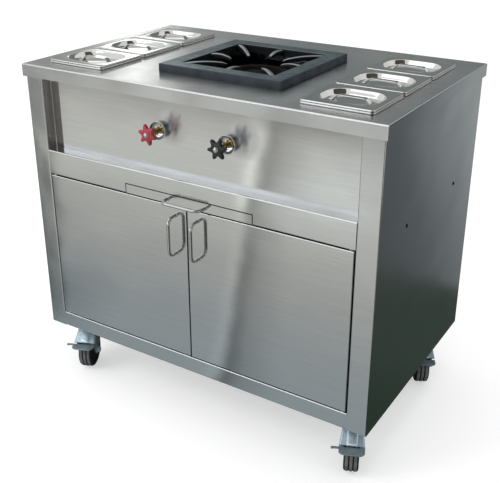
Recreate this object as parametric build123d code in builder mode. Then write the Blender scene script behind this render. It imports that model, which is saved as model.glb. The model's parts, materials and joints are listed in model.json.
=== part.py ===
from build123d import *

import os
from math import cos, radians, sin, sqrt

os.makedirs("parts", exist_ok=True)

# Stainless cooking trolley on castors, in millimetres.
# X runs to the right, Y to the back and Z up. The floor is Z = 0, and the origin lies under the
# middle of the whole object, with the door handles counted in.

# Overall sizes
worktop_width = 1000
worktop_depth = 625
worktop_height = 895
apron_height = 32
overhang = 6  # worktop edge beyond the cabinet's faces

# Sheet metal
sheet = 1.5
top_sheet = 2
bend = 3  # outside radius of a fold
fit = 0.3  # room left between pieces that are set in place
running = 0.05  # radial clearance of a pin that turns in its hole

# Cabinet
stile_width = 52
stile_return = 30
rear_flange = 25
top_flange = 20
panel_height = 190  # control panel, from the apron down to the ledge
panel_recess = 29.5
panel_flange = 12
rail_height = 66
rail_lip = 25
base_rail = 44
base_lip = 15
base_side_fold = 30
channel_width = 80
channel_sheet = 2

# Doors
reveal = 3  # gap round and between the doors
door_depth = 20
door_lip = 15
door_bend = 2
pivot_inset = 10  # hinge pin from the door's outer edge
pivot_depth = 7  # hinge pin behind the door's face
pin_radius = 4
pin_collar_radius = 5
pin_over = 4  # pin end past the sheet that it turns in

# Wire handles
handle_span = 100
tray_handle_span = 110
handle_wire = 8
handle_stand = 31  # face to the middle of the bar
handle_bend = 18
door_handle_inset = 33  # from the middle of the trolley
door_handle_drop = 73  # door top to the middle of the handle

# Drip tray and its runners
tray_width = 362
tray_length = 500
tray_height = 20
tray_sheet = 1.2
tray_front_over = 2.5  # tray front past each side of the tray
tray_gap = 2.5  # gap round the tray's front
tray_lift = 0.5  # tray front above the rail's lower edge
tray_floor_lift = 3  # tray bottom above its front's lower edge
runner_length = 455
runner_flange = 12
runner_side_gap = 0.8
arm_setback = 128.2  # runner's front end to the front arm
arm_spread = 306  # front arm to rear arm
arm_leg = 18
arm_tab = 30

# Cooking layout on the worktop
cook_offset = -19  # middle of the pans from the middle of the worktop
burner_shift_x = 20  # middle of the burner and its grate from the middle of the pans
burner_shift_y = -9.5
pan_margin = 51  # worktop edge to the pans
burner_hole = 300
hole_lip = 15

# Food pans, 1/6 of the standard gastronorm size, and their lids
pan_width = 176
pan_length = 162
pan_pitch = 167
pan_depth = 100
pan_sheet = 1
pan_rim = 12
pan_rim_height = 5
pan_rim_corner = 10
pan_corner = 23
pan_collar = 25  # upright wall above the stacking shoulder
pan_shoulder = 3
pan_clearance = 3  # pan wall to the edge of its cut-out
lid_inset = 1
lid_edge = 4.5
lid_corner = 9
recess_length = 142
recess_width = 112
recess_corner = 46
recess_depth = 14
recess_taper = 30
strap_length = 116
strap_foot = 14  # welded end of the strap, flat on the recess
strap_slope = 10
strap_width = 14
strap_sheet = 1.5

# Cast grate, a loose piece that is set down by hand
grate_size = 340
grate_bar = 40
grate_height = 21
grate_edge = 1.5
finger_tip = 72  # open radius in the middle
finger_root_width = 15
finger_tip_width = 10
finger_root_drop = 4  # finger top under the frame's top at its root
finger_tip_drop = 7
finger_tip_thick = 9
finger_foot = 3  # underside at the root above the worktop
finger_crest = 0.4  # highest place along the finger, as a share from its tip
finger_arch = 2  # hollow of the underside

# Burner and its cradle
burner_drop = 15  # worktop top to the top of the burner
ring_outer = 92
ring_inner = 62
cup_radius = 34
ring_cap = 12
ring_cap_slope = 5
ring_body = 28
cup_body = 31  # inner cup below the ring
tube_radius = 13
tube_lift = 2  # mixing tube above the bottom of the inner cup
tube_bore = 9
tube_bore_depth = 60
tube_spread = 80
tube_length = 150
bell_radius = 19
bell_length = 20
rib_width = 14
cradle_spread = 150
cradle_bar = 30
cradle_sheet = 3
cradle_room = 8  # cradle leg outside the lip of the burner hole
cradle_tab = 20

# Gas train
knob_shift_x = 8  # middle between the knobs from the middle of the trolley
knob_spread = 196
knob_drop = 84  # apron to the knobs
valve_radius = 11
valve_length = 34
valve_bore_depth = 20
outlet_radius = 6
outlet_height = 20
boss_radius = 10
boss_length = 14
manifold_radius = 10.5
manifold_over = 35  # pipe end past the right valve
inlet_x = -230
inlet_over = 40  # pipe end past the hose tail
hose_tail_radius = 5
hose_tail_length = 30
hose_boss_radius = 9
hose_boss = 12
supply_radius = 4
supply_bend = 14
injector_radius = 7
injector_length = 14

# Hand-wheels and the cups behind them
spindle_radius = 5
spindle_neck = 4
knob_stand = 45  # panel face to the back of the star
knob_thickness = 10
knob_body_radius = 17
knob_lobe_radius = 6
knob_lobe_circle = 20
knob_lobes = 6
knob_boss_radius = 10
knob_boss = 8
nut_radius = 7
nut_height = 4
cup_mouth_radius = 22.5
cup_foot_radius = 12
cup_depth = 15
cup_sheet = 1.2
stem_room = 2  # radial room round a turning stem

# Castors
wheel_radius = 50
tyre_width = 35
tyre_inner = 36
tyre_edge = 4
hub_half = 13
hub_boss_radius = 14
axle_radius = 5
axle_end = 5  # axle end past the fork
trail = 40
castor_headroom = 45  # top of the wheel to the cabinet's lower edge
castor_inset = 70  # swivel axis from the cabinet's side
castor_setback = 86.5  # swivel axis from the cabinet's front and back
castor_plate = 4
plate_length = 100
plate_width = 85
race_radius = 26
race_height = 10
kingpin_radius = 6
kingpin_head_radius = 10
kingpin_head = 3
crown_radius = 32
fork_sheet = 3
fork_room = 3.5  # tyre side to the fork leg
leg_end_radius = 13
leg_rear = 26
leg_shoulder = 16
hood_angle = 47.5
hood_room = 7
hood_lip = 10
hood_top_half = 22
hood_foot_half = 30
pedal_width = 62
pedal_length = 27
pedal_sheet = 3
pedal_corner = 13
pedal_angle = 44.3
pedal_room = 5.9
pedal_wing = 15  # narrow release arm at one end of the pedal
pedal_wing_width = 6
pedal_wing_tip = 4
pedal_pivot_angle = 54.8
pedal_pivot_inset = 8.4
pedal_boss = 5
pedal_pin = 3
ear_sheet = 2.4
ear_room = 0.5

# Places that follow from the sizes
handle_reach = handle_stand + handle_wire / 2
handle_proud = handle_reach - overhang
worktop_front = handle_proud - (worktop_depth + handle_proud) / 2
worktop_back = worktop_front + worktop_depth
worktop_mid = (worktop_front + worktop_back) / 2
worktop_under = worktop_height - top_sheet
body_front = worktop_front + overhang
body_back = worktop_back - overhang
body_half = worktop_width / 2 - overhang
inner_half = body_half - sheet
stile_inner = body_half - stile_width
apron_z = worktop_height - apron_height
ledge_z = apron_z - panel_height
rail_bottom = ledge_z - rail_height
panel_y = body_front + panel_recess
cabinet_bottom = 2 * wheel_radius + castor_headroom
floor_z = cabinet_bottom + base_rail
door_top = rail_bottom - reveal
door_bottom = floor_z + reveal
door_outer = stile_inner - reveal
pivot_x = door_outer - pivot_inset
pivot_y = body_front + pivot_depth
cook_y = worktop_mid + cook_offset
burner_x = burner_shift_x
burner_y = cook_y + burner_shift_y
burner_spot = (burner_x, burner_y)
row_x = worktop_width / 2 - pan_margin - pan_width / 2
knob_z = apron_z - knob_drop
valve_x = (knob_shift_x - knob_spread / 2, knob_shift_x + knob_spread / 2)
sides = (("left", -1), ("right", 1))


def save(piece, name):
    """Label a finished piece and write it to its own file."""
    piece.part.label = name
    export_step(piece.part, f"parts/{name}.step")


def folded(points, side, thickness=sheet):
    """Outline of a bent sheet: the line of its outer face, thickened to one side."""
    with BuildLine(Plane.XY) as outline:
        FilletPolyline(*points, radius=max(bend, thickness + 0.5))
        offset(amount=thickness, side=side)
    return outline.line.edges()


def cut_holes(plane, centres, radius, depth):
    """Cut round holes of one size from a plane into the part that is being built."""
    with BuildSketch(plane) as holes:
        with Locations(*centres):
            Circle(radius)
    extrude(holes.sketch, amount=depth, mode=Mode.SUBTRACT)


def add_disc(plane, centre, radius, height):
    """Add a plain round to the part that is being built, upright on a plane."""
    with BuildSketch(plane) as disc:
        with Locations(centre):
            Circle(radius)
    extrude(disc.sketch, amount=height)


def front_plane(y):
    """Upright plane at a depth, drawn in X and Z, facing the front."""
    return Plane.XZ.offset(-y)


# Worktop: one sheet turned down all round, with a lip that closes the step to the cabinet
pan_cut_width = pan_width - 2 * pan_rim + 2 * pan_clearance
pan_cut_length = pan_length - 2 * pan_rim + 2 * pan_clearance
pan_spots = [(side * row_x, cook_y + row * pan_pitch) for name, side in sides for row in (-1, 0, 1)]
with BuildPart() as worktop:
    with BuildSketch(Plane.XY.offset(worktop_height)):
        with Locations((0, worktop_mid)):
            Rectangle(worktop_width, worktop_depth)
    extrude(amount=-apron_height)
    fillet(worktop.edges().group_by(Axis.Z)[-1], bend)
    with BuildSketch(Plane.XY.offset(worktop_under)):
        with Locations((0, worktop_mid)):
            Rectangle(worktop_width - 2 * top_sheet, worktop_depth - 2 * top_sheet)
    extrude(amount=-(apron_height - 2 * top_sheet), mode=Mode.SUBTRACT)
    with BuildSketch(Plane.XY.offset(apron_z)):
        with Locations((0, worktop_mid)):
            Rectangle(2 * (body_half + fit), body_back - body_front + 2 * fit)
    extrude(amount=top_sheet, mode=Mode.SUBTRACT)
    with BuildSketch(Plane.XY.offset(worktop_under)):
        with Locations(burner_spot):
            Rectangle(burner_hole + 2 * top_sheet, burner_hole + 2 * top_sheet)
    extrude(amount=-hole_lip)
    with BuildSketch(Plane.XY.offset(worktop_height)):
        with Locations(burner_spot):
            Rectangle(burner_hole, burner_hole)
        with Locations(*pan_spots):
            Rectangle(pan_cut_width, pan_cut_length)
    extrude(amount=-(top_sheet + hole_lip), mode=Mode.SUBTRACT)
save(worktop, "worktop")

# Side panels: one sheet each, folded round the front into a stile with a return
tray_front_bottom = rail_bottom + tray_lift
tray_bottom = tray_front_bottom + tray_floor_lift
tray_front_width = tray_width + 2 * tray_front_over
tray_front_height = tray_floor_lift + tray_height
tray_top = tray_bottom + tray_height
arm_z = (tray_bottom + tray_top) / 2
for name, side in sides:
    with BuildPart() as side_panel:
        plan = [
            (side * stile_inner, body_front + stile_return),
            (side * stile_inner, body_front),
            (side * body_half, body_front),
            (side * body_half, body_back),
            (side * (body_half - rear_flange), body_back),
        ]
        with BuildSketch(Plane.XY.offset(cabinet_bottom)):
            make_face(folded(plan, Side.LEFT if side > 0 else Side.RIGHT))
        extrude(amount=worktop_under - cabinet_bottom)
        with BuildSketch(Plane.XY.offset(worktop_under)):
            with Locations((side * (inner_half - top_flange / 2), worktop_mid)):
                Rectangle(top_flange, body_back - body_front - 2 * stile_return)
        extrude(amount=-sheet)
    save(side_panel, f"{name}_side_panel")

# Back panel, inside the rear flanges, with a flange under the worktop
back_half = inner_half - (bend - sheet) - fit
with BuildPart() as back_panel:
    rear = body_back - sheet
    section = [
        (rear, floor_z),
        (rear, worktop_under),
        (rear - top_flange, worktop_under),
    ]
    with BuildSketch(Plane.YZ):
        make_face(folded(section, Side.LEFT))
    extrude(amount=inner_half - top_flange - 2 * fit, both=True)
    with BuildSketch(front_plane(rear)):
        with Locations((0, (floor_z + worktop_under - bend) / 2)):
            Rectangle(2 * back_half, worktop_under - bend - floor_z - 2 * top_sheet)
    extrude(amount=sheet)
save(back_panel, "back_panel")

# Base panel: the cupboard floor, whose front fold is the rail under the doors
wing_front = body_front + stile_return + fit
wing_back = body_back - 2 * sheet - fit
with BuildPart() as base_panel:
    front_fold = [
        (body_front + base_lip, cabinet_bottom),
        (body_front, cabinet_bottom),
        (body_front, floor_z),
        (wing_back, floor_z),
    ]
    with BuildSketch(Plane.YZ):
        make_face(folded(front_fold, Side.RIGHT))
    extrude(amount=stile_inner - fit, both=True)
    rear_fold = [
        (wing_back - base_lip, floor_z),
        (body_back - sheet, floor_z),
        (body_back - sheet, cabinet_bottom),
    ]
    with BuildSketch(Plane.YZ):
        make_face(folded(rear_fold, Side.RIGHT))
    extrude(amount=back_half, both=True)
    for name, side in sides:
        section = [
            (side * (stile_inner - bend), floor_z),
            (side * (inner_half - fit), floor_z),
            (side * (inner_half - fit), floor_z - base_side_fold),
        ]
        with BuildSketch(front_plane(wing_front)):
            make_face(folded(section, Side.RIGHT if side > 0 else Side.LEFT))
        extrude(amount=-(wing_back - wing_front))
    cut_holes(
        Plane.XY.offset(floor_z),
        [(-pivot_x, pivot_y), (pivot_x, pivot_y)],
        pin_radius + running,
        -sheet,
    )
save(base_panel, "base_panel")

# Channels under the floor that carry the castors
castor_x = body_half - castor_inset
castor_front = body_front + castor_setback
castor_back = body_back - castor_setback
channel_front = body_front + stile_return + fit
channel_back = body_back - 2 * sheet - bend
castor_spots = [
    (side * castor_x, y) for name, side in sides for y in (castor_front, castor_back)
]
with BuildPart() as base_channels:
    for name, side in sides:
        inner = side * castor_x - channel_width / 2
        outer = side * castor_x + channel_width / 2
        section = [
            (inner, floor_z - sheet),
            (inner, cabinet_bottom),
            (outer, cabinet_bottom),
            (outer, floor_z - sheet),
        ]
        with BuildSketch(front_plane(channel_front)):
            make_face(folded(section, Side.LEFT, channel_sheet))
        extrude(amount=-(channel_back - channel_front))
save(base_channels, "base_channels")

# Control panel, set back between the stiles
panel_half = stile_inner - fit
with BuildPart() as control_panel:
    plan = [
        (-panel_half, panel_y - panel_flange),
        (-panel_half, panel_y + sheet),
        (panel_half, panel_y + sheet),
        (panel_half, panel_y - panel_flange),
    ]
    with BuildSketch(Plane.XY.offset(ledge_z)):
        make_face(folded(plan, Side.RIGHT))
    extrude(amount=worktop_under - ledge_z)
    cut_holes(
        front_plane(panel_y),
        [(x, knob_z) for x in valve_x],
        spindle_radius + stem_room,
        -sheet,
    )
save(control_panel, "control_panel")

# Mid rail: ledge, face and lip in one fold, notched for the drip tray
notch_top = tray_front_bottom + tray_front_height + tray_gap
with BuildPart() as mid_rail:
    section = [
        (body_front + rail_lip, rail_bottom),
        (body_front, rail_bottom),
        (body_front, ledge_z),
        (panel_y + sheet, ledge_z),
    ]
    with BuildSketch(Plane.YZ):
        make_face(folded(section, Side.RIGHT))
    extrude(amount=panel_half, both=True)
    with BuildSketch(front_plane(body_front)):
        with Locations((0, (notch_top + rail_bottom) / 2)):
            Rectangle(tray_front_width + 2 * tray_gap, notch_top - rail_bottom)
    extrude(amount=-rail_lip, mode=Mode.SUBTRACT)
    cut_holes(
        Plane.XY.offset(rail_bottom),
        [(-pivot_x, pivot_y), (pivot_x, pivot_y)],
        pin_radius + running,
        sheet,
    )
save(mid_rail, "mid_rail")

# Doors: folded pans that turn on pins at the top and the bottom
door_width = door_outer - reveal / 2
door_height = door_top - door_bottom
door_mid_x = (door_outer + reveal / 2) / 2
door_mid_z = (door_top + door_bottom) / 2
for name, side in sides:
    middle = (side * door_mid_x, door_mid_z)
    pivot = (side * pivot_x, pivot_y)
    with BuildPart() as door:
        with BuildSketch(front_plane(body_front)):
            with Locations(middle):
                Rectangle(door_width, door_height)
        extrude(amount=-door_depth)
        fillet(door.faces().sort_by(Axis.Y)[0].edges(), door_bend)
        with BuildSketch(front_plane(body_front + sheet)):
            with Locations(middle):
                Rectangle(door_width - 2 * sheet, door_height - 2 * sheet)
        extrude(amount=-(door_depth - 2 * sheet), mode=Mode.SUBTRACT)
        with BuildSketch(front_plane(body_front + door_depth - sheet)):
            with Locations(middle):
                Rectangle(door_width - 2 * door_lip, door_height - 2 * door_lip)
        extrude(amount=-sheet, mode=Mode.SUBTRACT)
        cut_holes(Plane.XY.offset(door_bottom), [pivot], pin_radius + running, door_height)
    save(door, f"{name}_door")

    with BuildPart() as hinge_pins:
        for edge, seat, up in ((door_top, rail_bottom, 1), (door_bottom, floor_z, -1)):
            root = edge - up * (sheet + pin_over)
            tip = seat + up * (sheet + pin_over)
            add_disc(Plane.XY.offset(root), pivot, pin_radius, tip - root)
            add_disc(Plane.XY.offset(edge), pivot, pin_collar_radius, seat - up * fit - edge)
    save(hinge_pins, f"{name}_hinge_pins")

    handle_x = side * door_handle_inset
    handle_z = door_top - door_handle_drop
    with BuildPart() as handle:
        with BuildLine() as path:
            FilletPolyline(
                (handle_x, body_front, handle_z - handle_span / 2),
                (handle_x, body_front - handle_stand, handle_z - handle_span / 2),
                (handle_x, body_front - handle_stand, handle_z + handle_span / 2),
                (handle_x, body_front, handle_z + handle_span / 2),
                radius=handle_bend,
            )
        with BuildSketch(Plane(origin=path.line @ 0, z_dir=path.line % 0)):
            Circle(handle_wire / 2)
        sweep()
    save(handle, f"{name}_door_handle")

# Drip tray: a shallow pan with a front that fills the notch in the mid rail
with BuildPart() as drip_tray:
    with BuildSketch(front_plane(body_front)):
        with Locations((0, tray_front_bottom + tray_front_height / 2)):
            Rectangle(tray_front_width, tray_front_height)
    extrude(amount=-sheet)
    tray_mid_y = body_front + sheet + tray_length / 2
    with BuildSketch(Plane.XY.offset(tray_bottom)):
        with Locations((0, tray_mid_y)):
            Rectangle(tray_width, tray_length)
    extrude(amount=tray_height)
    with BuildSketch(Plane.XY.offset(tray_bottom + tray_sheet)):
        with Locations((0, tray_mid_y)):
            Rectangle(tray_width - 2 * tray_sheet, tray_length - 2 * tray_sheet)
    extrude(amount=tray_height, mode=Mode.SUBTRACT)
save(drip_tray, "drip_tray")

tray_handle_z = tray_front_bottom + tray_front_height / 2
with BuildPart() as tray_handle:
    with BuildLine() as path:
        FilletPolyline(
            (-tray_handle_span / 2, body_front, tray_handle_z),
            (-tray_handle_span / 2, body_front - handle_stand, tray_handle_z),
            (tray_handle_span / 2, body_front - handle_stand, tray_handle_z),
            (tray_handle_span / 2, body_front, tray_handle_z),
            radius=handle_bend,
        )
    with BuildSketch(Plane(origin=path.line @ 0, z_dir=path.line % 0)):
        Circle(handle_wire / 2)
    sweep()
save(tray_handle, "tray_handle")

# Tray runners: a C section on each side, welded to two arms that reach the side panel
runner_front = body_front + rail_lip + fit
arm_y = [runner_front + arm_setback, runner_front + arm_setback + arm_spread]
runner_low = tray_bottom - fit - sheet
runner_high = tray_top + fit + sheet
runner_out = tray_width / 2 + runner_side_gap + sheet
arm_end = inner_half - fit
with BuildPart() as tray_runners:
    for name, side in sides:
        section = [
            (side * (runner_out - runner_flange), runner_low),
            (side * runner_out, runner_low),
            (side * runner_out, runner_high),
            (side * (runner_out - runner_flange), runner_high),
        ]
        with BuildSketch(front_plane(runner_front)):
            make_face(folded(section, Side.LEFT if side > 0 else Side.RIGHT))
        extrude(amount=-runner_length)
        for y in arm_y:
            section = [
                (y - arm_leg / 2, arm_z + arm_leg / 2),
                (y - arm_leg / 2, arm_z - arm_leg / 2),
                (y + arm_leg / 2, arm_z - arm_leg / 2),
            ]
            with BuildSketch(Plane.YZ.offset(side * (runner_out - sheet / 2))):
                make_face(folded(section, Side.LEFT))
            extrude(amount=side * (arm_end - runner_out + sheet / 2))
            with BuildSketch(Plane.YZ.offset(side * arm_end)):
                with Locations((y, arm_z)):
                    Rectangle(arm_tab, arm_leg)
            extrude(amount=-side * sheet)
save(tray_runners, "tray_runners")

# Burner: two rings cast in one body, each fed by its own mixing tube
burner_top = worktop_height - burner_drop
ring_top = burner_top - ring_cap
ring_bottom = ring_top - ring_body
cup_bottom = ring_bottom - cup_body
tube_z = cup_bottom + tube_lift + tube_radius
tube_front = burner_y - tube_length
ring_mid = (ring_outer + ring_inner) / 2
sump_y = burner_y - sqrt(ring_mid**2 - (tube_spread / 2) ** 2)
left_tube_x = burner_x - tube_spread / 2
right_tube_x = burner_x + tube_spread / 2
tube_places = ((left_tube_x, burner_y), (right_tube_x, sump_y))
with BuildPart() as burner_body:
    with BuildSketch(Plane.XY.offset(ring_top)):
        with Locations(burner_spot):
            Circle(ring_outer)
            Circle(ring_inner, mode=Mode.SUBTRACT)
    extrude(amount=-ring_body)
    add_disc(Plane.XY.offset(cup_bottom), burner_spot, cup_radius, ring_top - cup_bottom)
    with BuildSketch(Plane.XY.offset(ring_bottom)):
        with Locations(burner_spot):
            Rectangle(2 * ring_mid, rib_width)
            Rectangle(rib_width, 2 * ring_mid)
    extrude(amount=ring_body / 2)
    add_disc(
        Plane.XY.offset(cup_bottom),
        (right_tube_x, sump_y),
        (ring_outer - ring_inner) / 2,
        ring_bottom - cup_bottom,
    )
    for tube_x, tube_end in tube_places:
        with BuildSketch(Plane(origin=(tube_x, tube_front, tube_z))):
            Polygon(
                (tube_bore, tube_bore_depth),
                (tube_bore, bell_length),
                (bell_radius - tube_radius + tube_bore, 0),
                (bell_radius, 0),
                (tube_radius, bell_length),
                (tube_radius, tube_end - tube_front),
                (0, tube_end - tube_front),
                (0, tube_bore_depth),
                align=None,
            )
        revolve(axis=Axis((tube_x, tube_front, tube_z), (0, 1, 0)))
save(burner_body, "burner_body")

# Burner rings: the two loose caps whose sloped edges carry the flame ports
with BuildPart() as burner_rings:
    with BuildSketch(Plane(origin=(*burner_spot, 0), x_dir=(1, 0, 0), z_dir=(0, -1, 0))):
        Polygon(
            (ring_inner, ring_top),
            (ring_outer, ring_top),
            (ring_outer - ring_cap_slope, burner_top),
            (ring_inner + ring_cap_slope, burner_top),
            align=None,
        )
        Polygon(
            (0, ring_top),
            (cup_radius, ring_top),
            (cup_radius - ring_cap_slope, burner_top),
            (0, burner_top),
            align=None,
        )
    revolve(axis=Axis((*burner_spot, 0), (0, 0, 1)))
save(burner_rings, "burner_rings")

# Cradle: two bent straps that hang from the worktop and carry the burner
leg_reach = burner_hole / 2 + top_sheet + cradle_room
with BuildPart() as burner_cradle:
    for name, side in sides:
        section = [
            (burner_y - leg_reach - cradle_tab, worktop_under),
            (burner_y - leg_reach, worktop_under),
            (burner_y - leg_reach, ring_bottom),
            (burner_y + leg_reach, ring_bottom),
            (burner_y + leg_reach, worktop_under),
            (burner_y + leg_reach + cradle_tab, worktop_under),
        ]
        strap_edge = burner_x + side * cradle_spread / 2 - cradle_bar / 2
        with BuildSketch(Plane.YZ.offset(strap_edge)):
            with BuildLine():
                FilletPolyline(*section, radius=2 * cradle_sheet)
                offset(amount=cradle_sheet, side=Side.RIGHT)
            make_face()
        extrude(amount=cradle_bar)
save(burner_cradle, "burner_cradle")

# Gas manifold: a pipe behind the panel, with a boss for each valve and a hose tail
valve_front = panel_y + sheet + fit
valve_back = valve_front + valve_length
manifold_y = valve_back + boss_length + manifold_radius
tail_z = knob_z - manifold_radius - hose_boss
with BuildPart() as gas_manifold:
    pipe_start = inlet_x - inlet_over
    pipe_end = valve_x[1] + manifold_over
    add_disc(Plane.YZ.offset(pipe_start), (manifold_y, knob_z), manifold_radius, pipe_end - pipe_start)
    for x in valve_x:
        add_disc(front_plane(manifold_y), (x, knob_z), boss_radius, boss_length + manifold_radius)
    add_disc(Plane.XY.offset(tail_z), (inlet_x, manifold_y), hose_boss_radius, knob_z - tail_z)
    add_disc(Plane.XY.offset(tail_z), (inlet_x, manifold_y), hose_tail_radius, -hose_tail_length)
save(gas_manifold, "gas_manifold")

# Gas valves: one behind each hand-wheel, with an outlet on top
outlet_y = valve_back - 2 * outlet_radius
outlet_z = knob_z + outlet_height
with BuildPart() as gas_valves:
    for x in valve_x:
        add_disc(front_plane(valve_front), (x, knob_z), valve_radius, -valve_length)
        add_disc(Plane.XY.offset(knob_z), (x, outlet_y), outlet_radius, outlet_height)
    cut_holes(
        front_plane(valve_front),
        [(x, knob_z) for x in valve_x],
        spindle_radius + running,
        -valve_bore_depth,
    )
save(gas_valves, "gas_valves")

# Supply tubes: bent from each valve's outlet to the injector in front of a mixing tube
injector_back = tube_front - fit
injector_front = injector_back - injector_length
with BuildPart() as supply_tubes:
    for start_x, (end_x, tube_end) in zip(valve_x, tube_places):
        with BuildLine() as path:
            FilletPolyline(
                (start_x, outlet_y, outlet_z),
                (start_x, outlet_y, tube_z),
                (end_x, injector_front + injector_length / 2, tube_z),
                radius=supply_bend,
            )
        with BuildSketch(Plane(origin=path.line @ 0, z_dir=path.line % 0)):
            Circle(supply_radius)
        sweep()
        add_disc(front_plane(injector_front), (end_x, tube_z), injector_radius, -injector_length)
save(supply_tubes, "supply_tubes")

# Cups: polished dishes on the panel, one round each stem
stem_hole = spindle_radius + stem_room
with BuildPart() as bezel_cups:
    for x in valve_x:
        with BuildSketch(Plane(origin=(x, panel_y, knob_z), x_dir=(1, 0, 0), z_dir=(0, 0, 1))):
            with BuildLine():
                foot = (cup_foot_radius, 0)
                swell = (cup_mouth_radius - cup_sheet, -cup_depth / 2)
                mouth = (cup_mouth_radius, -cup_depth)
                lip = (cup_mouth_radius - cup_sheet, -cup_depth)
                hollow = (swell[0] - cup_sheet, swell[1])
                floor = (cup_foot_radius - cup_sheet, -cup_sheet)
                ThreePointArc(foot, swell, mouth)
                Line(mouth, lip)
                ThreePointArc(lip, hollow, floor)
                Polyline(floor, (stem_hole, -cup_sheet), (stem_hole, 0), foot)
            make_face()
        revolve(axis=Axis((x, panel_y, knob_z), (0, 1, 0)))
save(bezel_cups, "bezel_cups")

# Hand-wheels: a star with round lobes, a boss behind it, and a stem with a nut in front
star_back = panel_y - knob_stand
star_front = star_back - knob_thickness
for name, x in zip(("red", "black"), valve_x):
    axis_point = (x, knob_z)
    with BuildPart() as knob:
        with BuildSketch(front_plane(star_back)) as star:
            with Locations(axis_point):
                Circle(knob_body_radius)
                with PolarLocations(knob_lobe_circle, knob_lobes, start_angle=90):
                    Circle(knob_lobe_radius)
        extrude(amount=knob_thickness)
        add_disc(front_plane(star_back), axis_point, knob_boss_radius, -knob_boss)
        cut_holes(
            front_plane(star_back + knob_boss), [axis_point], spindle_neck + running, knob_boss + knob_thickness
        )
    save(knob, f"{name}_knob")

    with BuildPart() as spindle:
        shoulder = star_back + knob_boss
        stem_end = valve_front + valve_bore_depth - fit
        add_disc(front_plane(shoulder), axis_point, spindle_radius, -(stem_end - shoulder))
        add_disc(front_plane(shoulder), axis_point, spindle_neck, shoulder - star_front + nut_height)
        with BuildSketch(front_plane(star_front)):
            with Locations(axis_point):
                RegularPolygon(nut_radius, 6)
                Circle(spindle_neck + 2 * running, mode=Mode.SUBTRACT)
        extrude(amount=nut_height)
    save(spindle, f"{name}_knob_spindle")

# Grate: a square cast frame with eight arched fingers round an open middle
frame_inner = grate_size / 2 - grate_bar


def grate_finger(root):
    """One finger along X, arched on top and below and narrower at its tip."""
    top = grate_height
    crest = finger_tip + (root - finger_tip) * finger_crest
    tip_top = top - finger_tip_drop
    tip_low = tip_top - finger_tip_thick
    with BuildPart() as finger:
        with BuildSketch(Plane.XZ):
            with BuildLine():
                ThreePointArc((root, top - finger_root_drop), (crest, top), (finger_tip, tip_top))
                Line((finger_tip, tip_top), (finger_tip, tip_low))
                ThreePointArc(
                    (finger_tip, tip_low),
                    (crest, (tip_low + finger_foot) / 2 + finger_arch),
                    (root, finger_foot),
                )
                Line((root, finger_foot), (root, top - finger_root_drop))
            make_face()
        extrude(amount=finger_root_width, both=True)
        with BuildSketch(Plane.XY):
            Polygon(
                (root, -finger_root_width / 2),
                (root, finger_root_width / 2),
                (finger_tip, finger_tip_width / 2),
                (finger_tip, -finger_tip_width / 2),
                align=None,
            )
        extrude(amount=grate_height, mode=Mode.INTERSECT)
    return finger.part


side_finger = grate_finger(frame_inner + grate_bar / 4)
corner_finger = grate_finger((frame_inner + grate_bar / 4) * sqrt(2))
with BuildPart() as grate:
    with BuildSketch(Plane.XY.offset(worktop_height)):
        with Locations(burner_spot):
            Rectangle(grate_size, grate_size)
            Rectangle(2 * frame_inner, 2 * frame_inner, mode=Mode.SUBTRACT)
    extrude(amount=grate_height)
    rim = grate.faces().sort_by(Axis.Z)[-1].outer_wire().edges()
    chamfer(rim, grate_edge)
    with Locations((*burner_spot, worktop_height)):
        for turn in range(4):
            add(side_finger, rotation=(0, 0, 90 * turn))
            add(corner_finger, rotation=(0, 0, 90 * turn + 45))
save(grate, "grate")

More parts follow.
